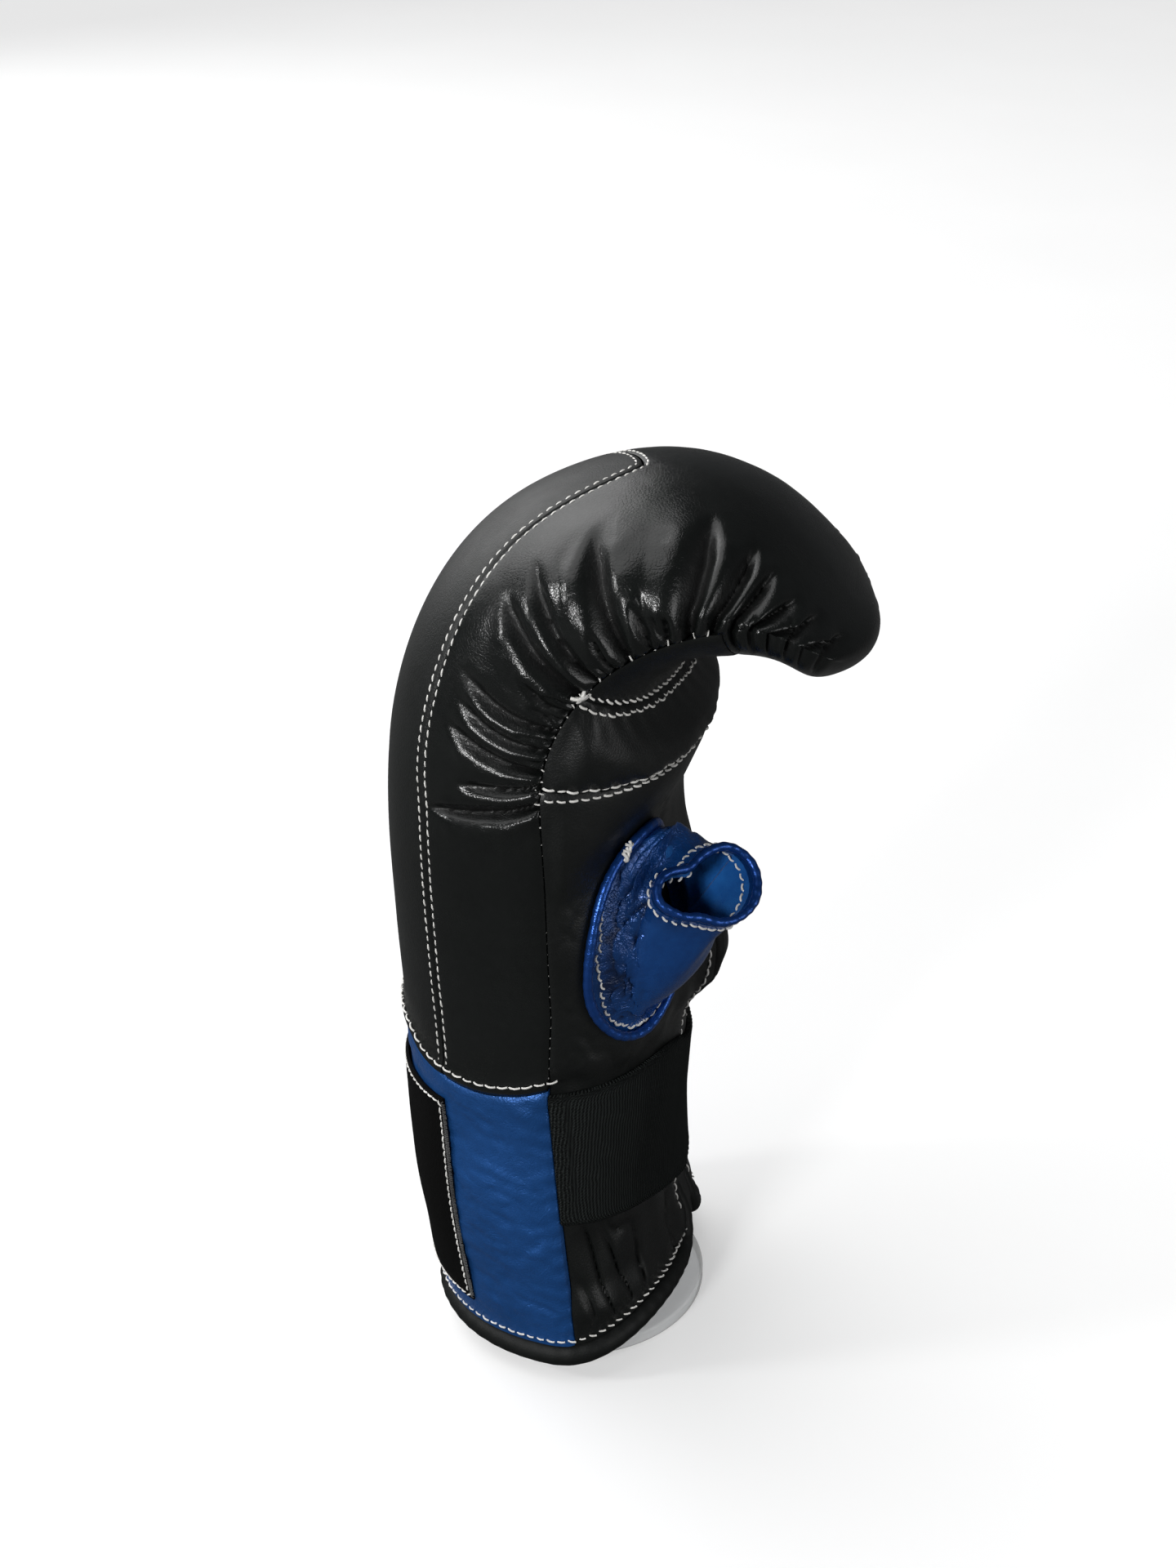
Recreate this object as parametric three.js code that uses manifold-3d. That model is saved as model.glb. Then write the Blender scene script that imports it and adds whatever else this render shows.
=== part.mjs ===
// A left-hand bag glove for boxing training, standing over a clear stand.
// Millimetres, +Z up. The fist curls towards +X, the thumb side faces -Y.
// The origin is the middle of the stand's underside, on the surface that it stands on.
import * as THREE from 'three';
import Module from 'manifold-3d';
import { mergeVertices } from 'three/addons/utils/BufferGeometryUtils.js';

const wasm = await Module();
wasm.setup();

// Driving dimensions of the glove's outer form

const GAP = 0.3; // clear space between two pieces that touch
const CUFF_LENGTH = 96; // rim to wrist seam
const HAND_LENGTH = 102; // wrist seam to where the fist starts to curl
const CURL_RADIUS = 54; // of the side seam round the curled fist
const CURL_ANGLE = THREE.MathUtils.degToRad(127);
const TIP_ROUNDING = 25.5; // length over which the fingertips close
const HALF_WIDTH = 58;
const BACK_DEPTH = 69.5; // side seam to back of hand, at the rim
const PALM_DEPTH = 30; // side seam to the grip bar
const PALM_ROUNDNESS = 2.2; // exponent of the palm half of each section
const WRIST_FORWARD = 12; // side seam at the wrist, ahead of the stand's axis
const RIM_FORWARD = 16; // side seam at the rim, ahead of the wrist
const BEND_BACK = 3; // side seam at the bend, behind the wrist
const RIM_RISE = 5; // the rim is higher on the palm side

// Walls

const BACK_PAD = 22; // padding over the knuckles, with its leather
const SIDE_PAD = 6; // padding of the side gusset, with its leather
const PALM_LEATHER = 2.6;
const GRIP_PAD = 12; // bar of padding that the fingers close on
const ELASTIC = 1.8;
const LABEL = 1;
const THUMB_LEATHER = 2;

// Rolled edges

const RIM_ROLL = 4.2; // radius of the binding round the rim
const SLIT_ROLL = 2.6; // radius of the binding up the slit
const WELT = 1.8; // radius of the piping round the thumb's base
const THUMB_ROLL = 1.8; // radius of the turned edge of the thumb's mouth

// Palm: slit, grip bar and finger panel, as lengths along the side seam line

const SLIT_Y = 18; // middle of the slit, on the little finger's side
const SLIT_OPENING = 6; // between its two rolled edges
const SLIT_TOP = 146; // height of its closed end above the rim
const CORNER_RADIUS = 12; // where the rim turns up into the slit
const FLARE_LOW = 0.93; // where its edges start to stand out, as a share of CUFF_LENGTH
const SLIT_FLARE = 10.5; // how far its edges stand out behind the thumb
const FLARE_SPREAD = 14; // how far across the palm that reaches
const FLARE_OVER = 5; // how far above the slit that ends
const GRIP_START = HAND_LENGTH + 4; // above the wrist seam
const GRIP_LENGTH = 32;
const FINGER_PANEL_LENGTH = 43;

// Thumb: an oval sewn to the palm and a short open sleeve

const THUMB_Y = -27; // middle of the oval
const THUMB_HEIGHT = 146.5; // middle of the oval above the rim
const THUMB_HALF_WIDTH = 22;
const THUMB_HALF_HEIGHT = 36.5;
const THUMB_LEAN = 7; // the oval's top is this far towards the little finger, its foot as far away
const THUMB_REACH = 18.5; // mouth's middle ahead of the oval's
const THUMB_RISE = 15.5; // mouth's middle above the oval's
const THUMB_SWING = 2.5; // mouth's middle towards the little finger
const THUMB_MOUTH = 17; // half the mouth's width
const MOUTH_FACING = new THREE.Vector3(0.55, -0.45, 0.7).normalize();

// Stand: a clear disc and a clear tapered tube

const DISC_RADIUS = 44;
const DISC_THICKNESS = 4.5;
const TUBE_WALL = 3;
const TUBE_TOP_RADIUS = 20;
const TUBE_CLEARANCE = 0.8; // tube to glove, on the way up

// Lengths that follow

const CURL_LENGTH = CURL_RADIUS * CURL_ANGLE;
const BEND_AT = CUFF_LENGTH + HAND_LENGTH;
const TIP_AT = BEND_AT + CURL_LENGTH;
const RIM_Z = DISC_THICKNESS + GAP + RIM_ROLL;
const GRIP_AT = CUFF_LENGTH + GRIP_START;
const FINGERS_AT = GRIP_AT + GRIP_LENGTH;
const FINGERS_END = FINGERS_AT + FINGER_PANEL_LENGTH;
const POCKET_END = FINGERS_END + 0.35 * (TIP_AT - FINGERS_END);
const SLIT_EDGE = SLIT_OPENING / 2 + 2 * SLIT_ROLL + GAP; // slit's middle to the cut leather
const SLEEVE_FOOT = 2 * WELT + 2 * GAP; // the oval's edge to the thumb's sleeve

// Cross-sections from rim to fingertip. zone and along place each one on the side seam line.
// back and core are shares of BACK_DEPTH, palm of PALM_DEPTH, side of HALF_WIDTH.
// core is where the section is widest, and square is the exponent of its back half.
const SECTIONS = [
  { zone: 'cuff', along: 0.0, back: 1.0, palm: 0.34, side: 0.93, core: 0.26, square: 2.17 },
  { zone: 'cuff', along: 0.5, back: 0.99, palm: 0.48, side: 0.965, core: 0.23, square: 2.17 },
  { zone: 'hand', along: 0.0, back: 0.91, palm: 0.81, side: 0.94, core: 0.19, square: 2.24 },
  { zone: 'hand', along: 0.43, back: 0.9, palm: 0.86, side: 0.965, core: 0.17, square: 2.4 },
  { zone: 'hand', along: 0.745, back: 0.895, palm: 0.67, side: 0.99, core: 0.17, square: 2.4 },
  { zone: 'curl', along: 0.0, back: 0.87, palm: 1.02, side: 0.99, core: 0.17, square: 2.37 },
  { zone: 'curl', along: 0.157, back: 0.837, palm: 0.87, side: 0.99, core: 0.17, square: 2.05 },
  { zone: 'curl', along: 0.315, back: 0.76, palm: 0.55, side: 0.98, core: 0.17, square: 1.95 },
  { zone: 'curl', along: 0.472, back: 0.6, palm: 0.46, side: 0.93, core: 0.144, square: 2.1 },
  { zone: 'curl', along: 0.63, back: 0.408, palm: 0.527, side: 0.79, core: 0.086, square: 1.82 },
  { zone: 'curl', along: 0.787, back: 0.139, palm: 0.563, side: 0.655, core: -0.014, square: 1.73 },
  { zone: 'curl', along: 0.897, back: 0.025, palm: 0.727, side: 0.577, core: -0.07, square: 1.72 },
  { zone: 'curl', along: 1.0, back: 0.042, palm: 0.71, side: 0.535, core: -0.115, square: 2.0 },
];

// Wall thickness from rim to fingertip: back is a share of BACK_PAD and side of SIDE_PAD.
const WALLS = [
  { zone: 'cuff', along: 0.0, back: 0.23, side: 0.8 },
  { zone: 'cuff', along: 0.85, back: 0.26, side: 0.8 },
  { zone: 'hand', along: 0.5, back: 0.6, side: 0.9 },
  { zone: 'curl', along: 0.1, back: 1.0, side: 1.0 },
  { zone: 'curl', along: 0.5, back: 0.95, side: 1.0 },
  { zone: 'curl', along: 0.78, back: 0.7, side: 1.0 },
  { zone: 'curl', along: 1.0, back: 0.6, side: 1.0 },
];

// Gathers of the side gusset: where each crease meets the side seam, its depth as a share of
// SIDE_PAD, and how much of the way to the back panel it runs.
const GATHERS = [
  { zone: 'hand', along: 0.96, depth: 0.4, reach: 0.95 },
  { zone: 'curl', along: 0.035, depth: 0.28, reach: 0.6 },
  { zone: 'curl', along: 0.085, depth: 0.3, reach: 0.9 },
  { zone: 'curl', along: 0.14, depth: 0.34, reach: 0.85 },
  { zone: 'curl', along: 0.2, depth: 0.38, reach: 0.9 },
  { zone: 'curl', along: 0.255, depth: 0.28, reach: 0.6 },
  { zone: 'curl', along: 0.31, depth: 0.4, reach: 0.9 },
  { zone: 'curl', along: 0.365, depth: 0.34, reach: 0.75 },
  { zone: 'curl', along: 0.41, depth: 0.28, reach: 0.5 },
  { zone: 'curl', along: 0.455, depth: 0.42, reach: 0.95 },
  { zone: 'curl', along: 0.52, depth: 0.25, reach: 0.45 },
  { zone: 'curl', along: 0.585, depth: 0.42, reach: 0.9 },
  { zone: 'curl', along: 0.635, depth: 0.38, reach: 0.8 },
  { zone: 'curl', along: 0.685, depth: 0.36, reach: 0.75 },
  { zone: 'curl', along: 0.745, depth: 0.36, reach: 0.7 },
  { zone: 'curl', along: 0.81, depth: 0.38, reach: 0.8 },
  { zone: 'curl', along: 0.885, depth: 0.34, reach: 0.9 },
];

const CREASE_WIDTH = 0.45 * SIDE_PAD;
const CREASE_RUN_OUT = 0.45; // share of the way to the seam over which a crease deepens
const SEAM_PINNING = 0.65; // how much of a crease the seam holds flat
const SEAM_PINNED_FROM = 0.94; // share of the way to the seam
const TIP_CREASE = 0.15; // share of the way round the fingertips' underside that a crease runs

// Lower and upper edge of the elastic band, as shares of CUFF_LENGTH, at turns round the palm:
// 0 is the thumb side's seam and 1 the little finger side's.
const ELASTIC_EDGES = [
  { turn: 0.0, low: 0.54, high: 1.02 },
  { turn: 0.25, low: 0.49, high: 1.02 },
  { turn: 0.45, low: 0.41, high: 0.99 },
  { turn: 0.62, low: 0.31, high: 0.87 },
  { turn: 0.8, low: 0.36, high: 0.86 },
  { turn: 1.0, low: 0.42, high: 0.9 },
];

// Reach of the thumb's mouth from its middle, as a share of THUMB_MOUTH. turn is in degrees.
const MOUTH_OUTLINE = [
  { turn: 0, reach: 0.8 },
  { turn: 35, reach: 0.93 },
  { turn: 70, reach: 1.02 },
  { turn: 100, reach: 0.93 },
  { turn: 130, reach: 0.7 },
  { turn: 165, reach: 0.56 },
  { turn: 190, reach: 0.62 },
  { turn: 215, reach: 1.0 },
  { turn: 237, reach: 1.13 },
  { turn: 258, reach: 0.95 },
  { turn: 285, reach: 0.7 },
  { turn: 325, reach: 0.72 },
];

// Back panel: a tongue that narrows over the knuckles, and the label on the cuff below it

const TONGUE_HALF_TURN = THREE.MathUtils.degToRad(64);
const TONGUE_SHOULDER = CUFF_LENGTH + 0.88 * HAND_LENGTH;
const TONGUE_END = BEND_AT + 0.5 * CURL_LENGTH;
const TONGUE_TAPER = 0.72; // exponent of its narrowing: lower is blunter
const LABEL_HALF_TURN = THREE.MathUtils.degToRad(63);
const LABEL_LOW = 0.13 * CUFF_LENGTH;
const LABEL_HIGH = 0.92 * CUFF_LENGTH;

// Finishes

const FINISHES = {
  blackLeather: { color: 0x191c1b, roughness: 0.36, metalness: 0.0 },
  blueLeather: { color: 0x1b3a70, roughness: 0.3, metalness: 0.25 },
  elastic: { color: 0x161817, roughness: 0.85, metalness: 0.0 },
  label: { color: 0x121413, roughness: 0.8, metalness: 0.0 },
  acrylic: { color: 0xd9dddb, roughness: 0.08, metalness: 0.0, transparent: true, opacity: 0.35 },
};

// Small helpers

const lerp = THREE.MathUtils.lerp;
const smooth = (value, from, to) => THREE.MathUtils.smoothstep(value, from, to);
const span = (count) => Array.from({ length: count + 1 }, (_, i) => i / count);

// Place of a table row on the side seam line, measured from the rim.
function seamPlace({ zone, along }) {
  if (zone === 'cuff') return along * CUFF_LENGTH;
  if (zone === 'hand') return CUFF_LENGTH + along * HAND_LENGTH;
  return BEND_AT + along * CURL_LENGTH;
}

// Smooth curve through a column of a table: cubic pieces with slopes taken from the neighbours.
function column(rows, place, value) {
  const x = rows.map(place);
  const y = rows.map(value);
  const last = rows.length - 1;
  const slope = y.map((_, i) => {
    const a = Math.max(i - 1, 0);
    const b = Math.min(i + 1, last);
    return (y[b] - y[a]) / (x[b] - x[a]);
  });
  return (at) => {
    const p = THREE.MathUtils.clamp(at, x[0], x[last]);
    let i = 0;
    while (i < last - 1 && p > x[i + 1]) i += 1;
    const h = x[i + 1] - x[i];
    const t = (p - x[i]) / h;
    const rise = t * t * (3 - 2 * t);
    return (
      y[i] * (1 - rise) +
      y[i + 1] * rise +
      h * slope[i] * t * (1 - t) * (1 - t) -
      h * slope[i + 1] * t * t * (1 - t)
    );
  };
}

const backAt = column(SECTIONS, seamPlace, (r) => r.back * BACK_DEPTH);
const palmAt = column(SECTIONS, seamPlace, (r) => r.palm * PALM_DEPTH);
const sideAt = column(SECTIONS, seamPlace, (r) => r.side * HALF_WIDTH);
const coreAt = column(SECTIONS, seamPlace, (r) => r.core * BACK_DEPTH);
const squareAt = column(SECTIONS, seamPlace, (r) => r.square);
const backWallAt = column(WALLS, seamPlace, (r) => r.back * BACK_PAD);
const sideWallAt = column(WALLS, seamPlace, (r) => r.side * SIDE_PAD);
const elasticLow = column(ELASTIC_EDGES, (r) => r.turn, (r) => r.low * CUFF_LENGTH);
const elasticHigh = column(ELASTIC_EDGES, (r) => r.turn, (r) => r.high * CUFF_LENGTH);

// The side seam line: point and turn of the section plane at a length s from the rim.
function seamLine(s) {
  const rimX = WRIST_FORWARD + RIM_FORWARD;
  const bendX = WRIST_FORWARD - BEND_BACK;
  if (s <= CUFF_LENGTH) return { x: lerp(rimX, WRIST_FORWARD, s / CUFF_LENGTH), z: RIM_Z + s, turn: 0 };
  if (s <= BEND_AT) {
    return { x: lerp(WRIST_FORWARD, bendX, (s - CUFF_LENGTH) / HAND_LENGTH), z: RIM_Z + s, turn: 0 };
  }
  const turn = (s - BEND_AT) / CURL_RADIUS;
  return {
    x: bendX + CURL_RADIUS * (1 - Math.cos(turn)),
    z: RIM_Z + BEND_AT + CURL_RADIUS * Math.sin(turn),
    turn,
  };
}

// Rounds a section off towards the end of the fist or of the finger pocket.
function closing(size, s, from, end) {
  if (s <= from) return size;
  const t = Math.min((s - from) / (end - from), 1);
  const q = Math.sqrt(Math.max(1 - t * t, 0));
  const mid = (size.back - size.palm) / 2;
  return {
    ...size,
    back: mid + (size.back - mid) * q,
    palm: -mid + (size.palm + mid) * q,
    side: size.side * q,
    core: mid + (size.core - mid) * q,
  };
}

// Outer section sizes at s, with the palm and sides lowered by an inset.
function outerSize(s, inset = 0) {
  const size = {
    back: backAt(s),
    palm: palmAt(s) - inset,
    side: sideAt(s) - inset,
    core: coreAt(s),
    square: squareAt(s),
  };
  return closing(size, s, TIP_AT - TIP_ROUNDING, TIP_AT);
}

// Section sizes of the hollow for the hand at s.
function hollowSize(s, palmWall) {
  const back = backAt(s) - backWallAt(s);
  const palm = palmAt(s) - palmWall;
  const size = {
    back,
    palm,
    side: sideAt(s) - sideWallAt(s),
    core: THREE.MathUtils.clamp(coreAt(s), 2 - palm, back - 2),
    square: squareAt(s),
  };
  return closing(size, s, FINGERS_END - 0.5 * (POCKET_END - FINGERS_END), POCKET_END);
}

// A point of a section: turn 0 is the middle of the back, a quarter turn the side, half the palm.
function sectionPoint(s, size, turn) {
  const line = seamLine(s);
  const onBack = Math.cos(turn) >= 0;
  const power = 2 / (onBack ? size.square : PALM_ROUNDNESS);
  const depth = onBack ? size.back - size.core : -(size.palm + size.core);
  const out = size.core + depth * Math.abs(Math.cos(turn)) ** power;
  const y = Math.sign(Math.sin(turn)) * size.side * Math.abs(Math.sin(turn)) ** power;
  return new THREE.Vector3(line.x - out * Math.cos(line.turn), y, line.z + out * Math.sin(line.turn));
}

// Turn at which a section crosses the side seam, moved up or down by a small offset.
function seamTurn(size, offset) {
  const share = (size.core - offset) / (size.palm + size.core);
  const lean = Math.min(Math.max(share, 0), 1) ** (PALM_ROUNDNESS / 2);
  return Math.PI / 2 + Math.asin(lean);
}

// Turn of the tongue's edge at a share of the way from wrist to tongue tip, with a gap beside it.
function tongueTurn(s, size, end, gap) {
  const t = THREE.MathUtils.clamp((s - TONGUE_SHOULDER) / (end - TONGUE_SHOULDER), 0, 1);
  if (t >= 1) return 0;
  return Math.max(TONGUE_HALF_TURN * (1 - t * t) ** TONGUE_TAPER + gap / size.side, 0);
}

// Height of the rim above its lowest part.
const rimRise = (turn) => RIM_RISE * smooth(Math.abs(turn), Math.PI / 2, 0.9 * Math.PI);

// How far the palm's leather is pressed in under the elastic band: 1 under it, 0 away from it.
const PRESS = { low: 0.16, lowFull: 0.27, highFull: 1.04, high: 1.15 }; // shares of CUFF_LENGTH
const underElastic = (s) =>
  smooth(s, PRESS.low * CUFF_LENGTH, PRESS.lowFull * CUFF_LENGTH) *
  (1 - smooth(s, PRESS.highFull * CUFF_LENGTH, PRESS.high * CUFF_LENGTH));

// How far the leather stands out beside the slit, behind the thumb.
function flare(y, s) {
  const low = FLARE_LOW * CUFF_LENGTH;
  const high = SLIT_TOP + FLARE_OVER;
  if (s <= low || s >= high) return 0;
  const across = Math.exp(-(((y - SLIT_Y) / FLARE_SPREAD) ** 2));
  return SLIT_FLARE * across * Math.sin((Math.PI * (s - low)) / (high - low)) ** 2;
}

// A point of the palm's outer leather face at a width y and a length s, lifted along its normal.
function palmFace(y, s, lift) {
  const at = (v, l) => {
    const size = outerSize(l, (ELASTIC + GAP) * underElastic(l));
    const share = Math.min(Math.abs(v) / size.side, 0.999);
    const out = size.core - (size.palm + size.core) * (1 - share ** PALM_ROUNDNESS) ** (1 / PALM_ROUNDNESS);
    return new THREE.Vector3(seamLine(l).x - out + flare(v, l), v, RIM_Z + l);
  };
  const step = 0.5;
  const across = at(y + step, s).sub(at(y - step, s));
  const along = at(y, s + step).sub(at(y, s - step));
  const normal = across.cross(along).normalize();
  return { point: at(y, s).addScaledVector(normal, lift), normal };
}

// Solids

// Turns a geometry's triangles so that they face outwards.
function facingOut(geometry) {
  const p = geometry.getAttribute('position');
  const index = geometry.index.array;
  const [a, b, c] = [new THREE.Vector3(), new THREE.Vector3(), new THREE.Vector3()];
  let volume = 0;
  for (let i = 0; i < index.length; i += 3) {
    a.fromBufferAttribute(p, index[i]);
    b.fromBufferAttribute(p, index[i + 1]);
    c.fromBufferAttribute(p, index[i + 2]);
    volume += a.dot(b.cross(c));
  }
  if (volume < 0) for (let i = 0; i < index.length; i += 3) [index[i], index[i + 1]] = [index[i + 1], index[i]];
  return geometry;
}

function solidOf(points, triangles) {
  const geometry = new THREE.BufferGeometry();
  geometry.setAttribute('position', new THREE.Float32BufferAttribute(points.flatMap((p) => p.toArray()), 3));
  geometry.setIndex(triangles);
  return facingOut(geometry);
}

// A thick sheet from patches. Each patch has rows and columns, and gives an outer and an inner
// point for each crossing. Points that meet are joined, and walls close every free edge.
function thickSheet(patches) {
  const outer = [];
  const inner = [];
  const known = new Map();
  const faces = [];
  const pointIndex = (pair) => {
    const key = pair[0].toArray().map((v) => Math.round(v * 1e3)).join();
    if (!known.has(key)) {
      known.set(key, outer.length);
      outer.push(pair[0]);
      inner.push(pair[1]);
    }
    return known.get(key);
  };
  for (const { rows, columns, pair } of patches) {
    const grid = rows.map((r) => columns.map((c) => pointIndex(pair(r, c))));
    for (let i = 1; i < rows.length; i += 1) {
      for (let j = 1; j < columns.length; j += 1) {
        faces.push([grid[i - 1][j - 1], grid[i - 1][j], grid[i][j]], [grid[i - 1][j - 1], grid[i][j], grid[i][j - 1]]);
      }
    }
  }
  const kept = faces.filter(([a, b, c]) => a !== b && b !== c && c !== a);
  const count = outer.length;
  const edges = new Map();
  for (const [a, b, c] of kept) {
    for (const [from, to] of [[a, b], [b, c], [c, a]]) {
      if (!edges.delete(`${to},${from}`)) edges.set(`${from},${to}`, [from, to]);
    }
  }
  const triangles = kept.flatMap(([a, b, c]) => [a, b, c, a + count, c + count, b + count]);
  // Each wall is split along its shorter diagonal, so that walls that face each other match.
  for (const [from, to] of edges.values()) {
    if (inner[from].distanceTo(outer[to]) <= outer[from].distanceTo(inner[to])) {
      triangles.push(from, from + count, to, to, from + count, to + count);
    } else {
      triangles.push(from, from + count, to + count, from, to + count, to);
    }
  }
  return solidOf([...outer, ...inner], triangles);
}

// A solid round a closed path: a ring of sides at each point, across the path.
function closedTube(path, radii, outward, sides) {
  const count = path.length;
  const points = path.flatMap((p, i) => {
    const tangent = path[(i + 1) % count].clone().sub(path[(i + count - 1) % count]).normalize();
    const first = outward(p, i).clone();
    first.addScaledVector(tangent, -first.dot(tangent)).normalize();
    const second = tangent.clone().cross(first);
    return span(sides).slice(0, -1).map((t) => {
      const turn = 2 * Math.PI * (t + 0.5 / sides);
      return p.clone()
        .addScaledVector(first, radii[i] * Math.cos(turn))
        .addScaledVector(second, radii[i] * Math.sin(turn));
    });
  });
  const triangles = [];
  for (let i = 0; i < count; i += 1) {
    for (let j = 0; j < sides; j += 1) {
      const a = i * sides + j;
      const b = i * sides + ((j + 1) % sides);
      const c = ((i + 1) % count) * sides + j;
      const d = ((i + 1) % count) * sides + ((j + 1) % sides);
      triangles.push(a, b, d, a, d, c);
    }
  }
  return solidOf(points, triangles);
}

function toManifold(geometry) {
  const plain = geometry.clone();
  plain.deleteAttribute('normal');
  plain.deleteAttribute('uv');
  const merged = mergeVertices(plain, 1e-4);
  return new wasm.Manifold(new wasm.Mesh({
    numProp: 3,
    vertProperties: new Float32Array(merged.getAttribute('position').array),
    triVerts: new Uint32Array(merged.index.array),
  }));
}

function fromManifold(solid) {
  const mesh = solid.getMesh();
  const geometry = new THREE.BufferGeometry();
  geometry.setAttribute('position', new THREE.BufferAttribute(mesh.vertProperties, 3));
  geometry.setIndex(new THREE.BufferAttribute(mesh.triVerts, 1));
  return geometry;
}

// Cutter through the palm: an outline in width and height, pushed through along X.
function palmCutter(outline) {
  const depth = 2 * (BACK_DEPTH + PALM_DEPTH);
  const geometry = new THREE.ExtrudeGeometry(new THREE.Shape(outline), { depth, bevelEnabled: false });
  geometry.applyMatrix4(new THREE.Matrix4().makeBasis(
    new THREE.Vector3(0, 1, 0), new THREE.Vector3(0, 0, 1), new THREE.Vector3(1, 0, 0),
  ));
  return toManifold(geometry);
}

const group = new THREE.Group();

function add(name, geometry, finish) {
  geometry.computeVertexNormals();
  const mesh = new THREE.Mesh(geometry, new THREE.MeshStandardMaterial(finish));
  mesh.name = name;
  group.add(mesh);
}

// Rows of points up the back panel and the side gusset: close together at the creases

const half = GAP / 2;
const creases = GATHERS.map((row) => ({ ...row, s: seamPlace(row) }));

const gatherRows = creases.flatMap((crease, i) => {
  const next = creases[i + 1];
  return next ? [crease.s, (crease.s + next.s) / 2] : [crease.s];
});
const beforeGathers = creases[0].s - SIDE_PAD;
const tipRows = span(5).slice(1).map((t) => lerp(creases.at(-1).s, TIP_AT, Math.sin((t * Math.PI) / 2)));
const neededRows = [TONGUE_END + half, FINGERS_END + half];
const otherRows = [
  ...span(6).map((t) => lerp(CUFF_LENGTH + half, beforeGathers, t)),
  ...gatherRows,
  ...[0.96, 0.985].map((t) => lerp(TONGUE_SHOULDER, TONGUE_END, t)),
  ...tipRows,
].filter((s) => neededRows.every((needed) => Math.abs(s - needed) > 2 * GAP));
const gussetRows = [...neededRows, ...otherRows].sort((a, b) => a - b);

// Back panel: padded tongue from the wrist seam up over the knuckles

function backPair(s, across) {
  const outer = outerSize(s);
  const hollow = hollowSize(s, PALM_LEATHER);
  const end = TONGUE_END - half;
  return [
    sectionPoint(s, outer, across * tongueTurn(s, outer, end, -half)),
    sectionPoint(s, hollow, across * tongueTurn(s, hollow, end, -half)),
  ];
}

add('back_panel', thickSheet([{
  rows: [...gussetRows.filter((s) => s < TONGUE_END - GAP), TONGUE_END - half],
  columns: span(10).map((t) => 2 * t - 1),
  pair: backPair,
}]), FINISHES.blackLeather);

// Side gusset: from the back panel down to the side seam on both sides, gathered into the seam
// round the fist, and closed over the fingertips

// Depth of the gathers at a length s, and at a share of the way from the back panel to the seam.
function gather(s, share) {
  if (s < beforeGathers) return 0;
  const depths = creases.map((crease) => {
    const from = 1 - crease.reach;
    const along = Math.exp(-(((s - crease.s) / CREASE_WIDTH) ** 2));
    return crease.depth * SIDE_PAD * smooth(share, from, from + CREASE_RUN_OUT) * along;
  });
  const pinned = 1 - SEAM_PINNING * smooth(share, SEAM_PINNED_FROM, 1);
  return pinned * depths.reduce((sum, depth) => sum + depth, 0);
}

// Length at which the hollow's wall lies behind a length s of the outer face.
function hollowPlace(s) {
  const t = Math.max((s - FINGERS_END) / (TIP_AT - FINGERS_END), 0);
  return t > 0 ? lerp(FINGERS_END, POCKET_END, t) : s;
}

// Outer and inner point of the gusset, with the outer one drawn in by the gathers.
function gatheredPair(s, turnOf, depth) {
  const behind = hollowPlace(s);
  const outer = outerSize(s);
  const hollow = hollowSize(behind, palmWallAt(behind));
  const outerPoint = sectionPoint(s, outer, turnOf(outer));
  const innerPoint = sectionPoint(behind, hollow, turnOf(hollow));
  if (s < TIP_AT - 1) outerPoint.addScaledVector(innerPoint.clone().sub(outerPoint).normalize(), depth);
  return [outerPoint, innerPoint];
}

function gussetPair(side) {
  const end = TONGUE_END + half;
  return (s, share) => gatheredPair(
    s,
    (size) => side * lerp(tongueTurn(s, size, end, half), seamTurn(size, half), share),
    gather(s, share),
  );
}

// The underside of the fingertips, where the gusset wraps right round past the finger panel.
function tipPair(s, share) {
  const edge = Math.min(share, 1 - share);
  return gatheredPair(
    s,
    (size) => lerp(seamTurn(size, half), 2 * Math.PI - seamTurn(size, half), share),
    gather(s, 1) * (1 - smooth(edge, 0, TIP_CREASE)),
  );
}

// Thickness of the palm side: leather, with the padded grip bar between two seams.
function palmWallAt(s) {
  const onBar = s > GRIP_AT && s < FINGERS_AT;
  return onBar ? GRIP_PAD : PALM_LEATHER;
}

const gussetColumns = [0, 0.22, 0.42, 0.6, 0.76, 0.89, 1];
add('side_gusset', thickSheet([
  { rows: gussetRows, columns: gussetColumns, pair: gussetPair(1) },
  { rows: gussetRows, columns: [...gussetColumns].reverse(), pair: gussetPair(-1) },
  { rows: gussetRows.filter((s) => s >= FINGERS_END), columns: span(8), pair: tipPair },
]), FINISHES.blackLeather);

// Cuff: padded blue leather round the back of the wrist, with a blank woven label

function cuffPair(t, across) {
  const low = rimRise(across * seamTurn(outerSize(0), half)) + RIM_ROLL + GAP;
  const s = lerp(low, CUFF_LENGTH - half, t);
  const at = (size) => sectionPoint(s, size, across * seamTurn(size, half));
  return [at(outerSize(s)), at(hollowSize(s, PALM_LEATHER))];
}

add('cuff_panel', thickSheet([{ rows: span(6), columns: span(22).map((t) => 2 * t - 1), pair: cuffPair }]),
  FINISHES.blueLeather);

function labelPair(s, across) {
  const raised = (lift) => {
    const size = outerSize(s, -lift);
    size.back += lift;
    return sectionPoint(s, size, across * LABEL_HALF_TURN);
  };
  return [raised(GAP + LABEL), raised(GAP)];
}

add('label_patch', thickSheet([{
  rows: span(4).map((t) => lerp(LABEL_LOW, LABEL_HIGH, t)), columns: span(22).map((t) => 2 * t - 1), pair: labelPair,
}]), FINISHES.label);

// Palm: one leather panel from the rim to the grip bar, with a slit up its middle and a hole
// into the thumb, then the padded bar that the fingers close on, then the finger panel

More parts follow.
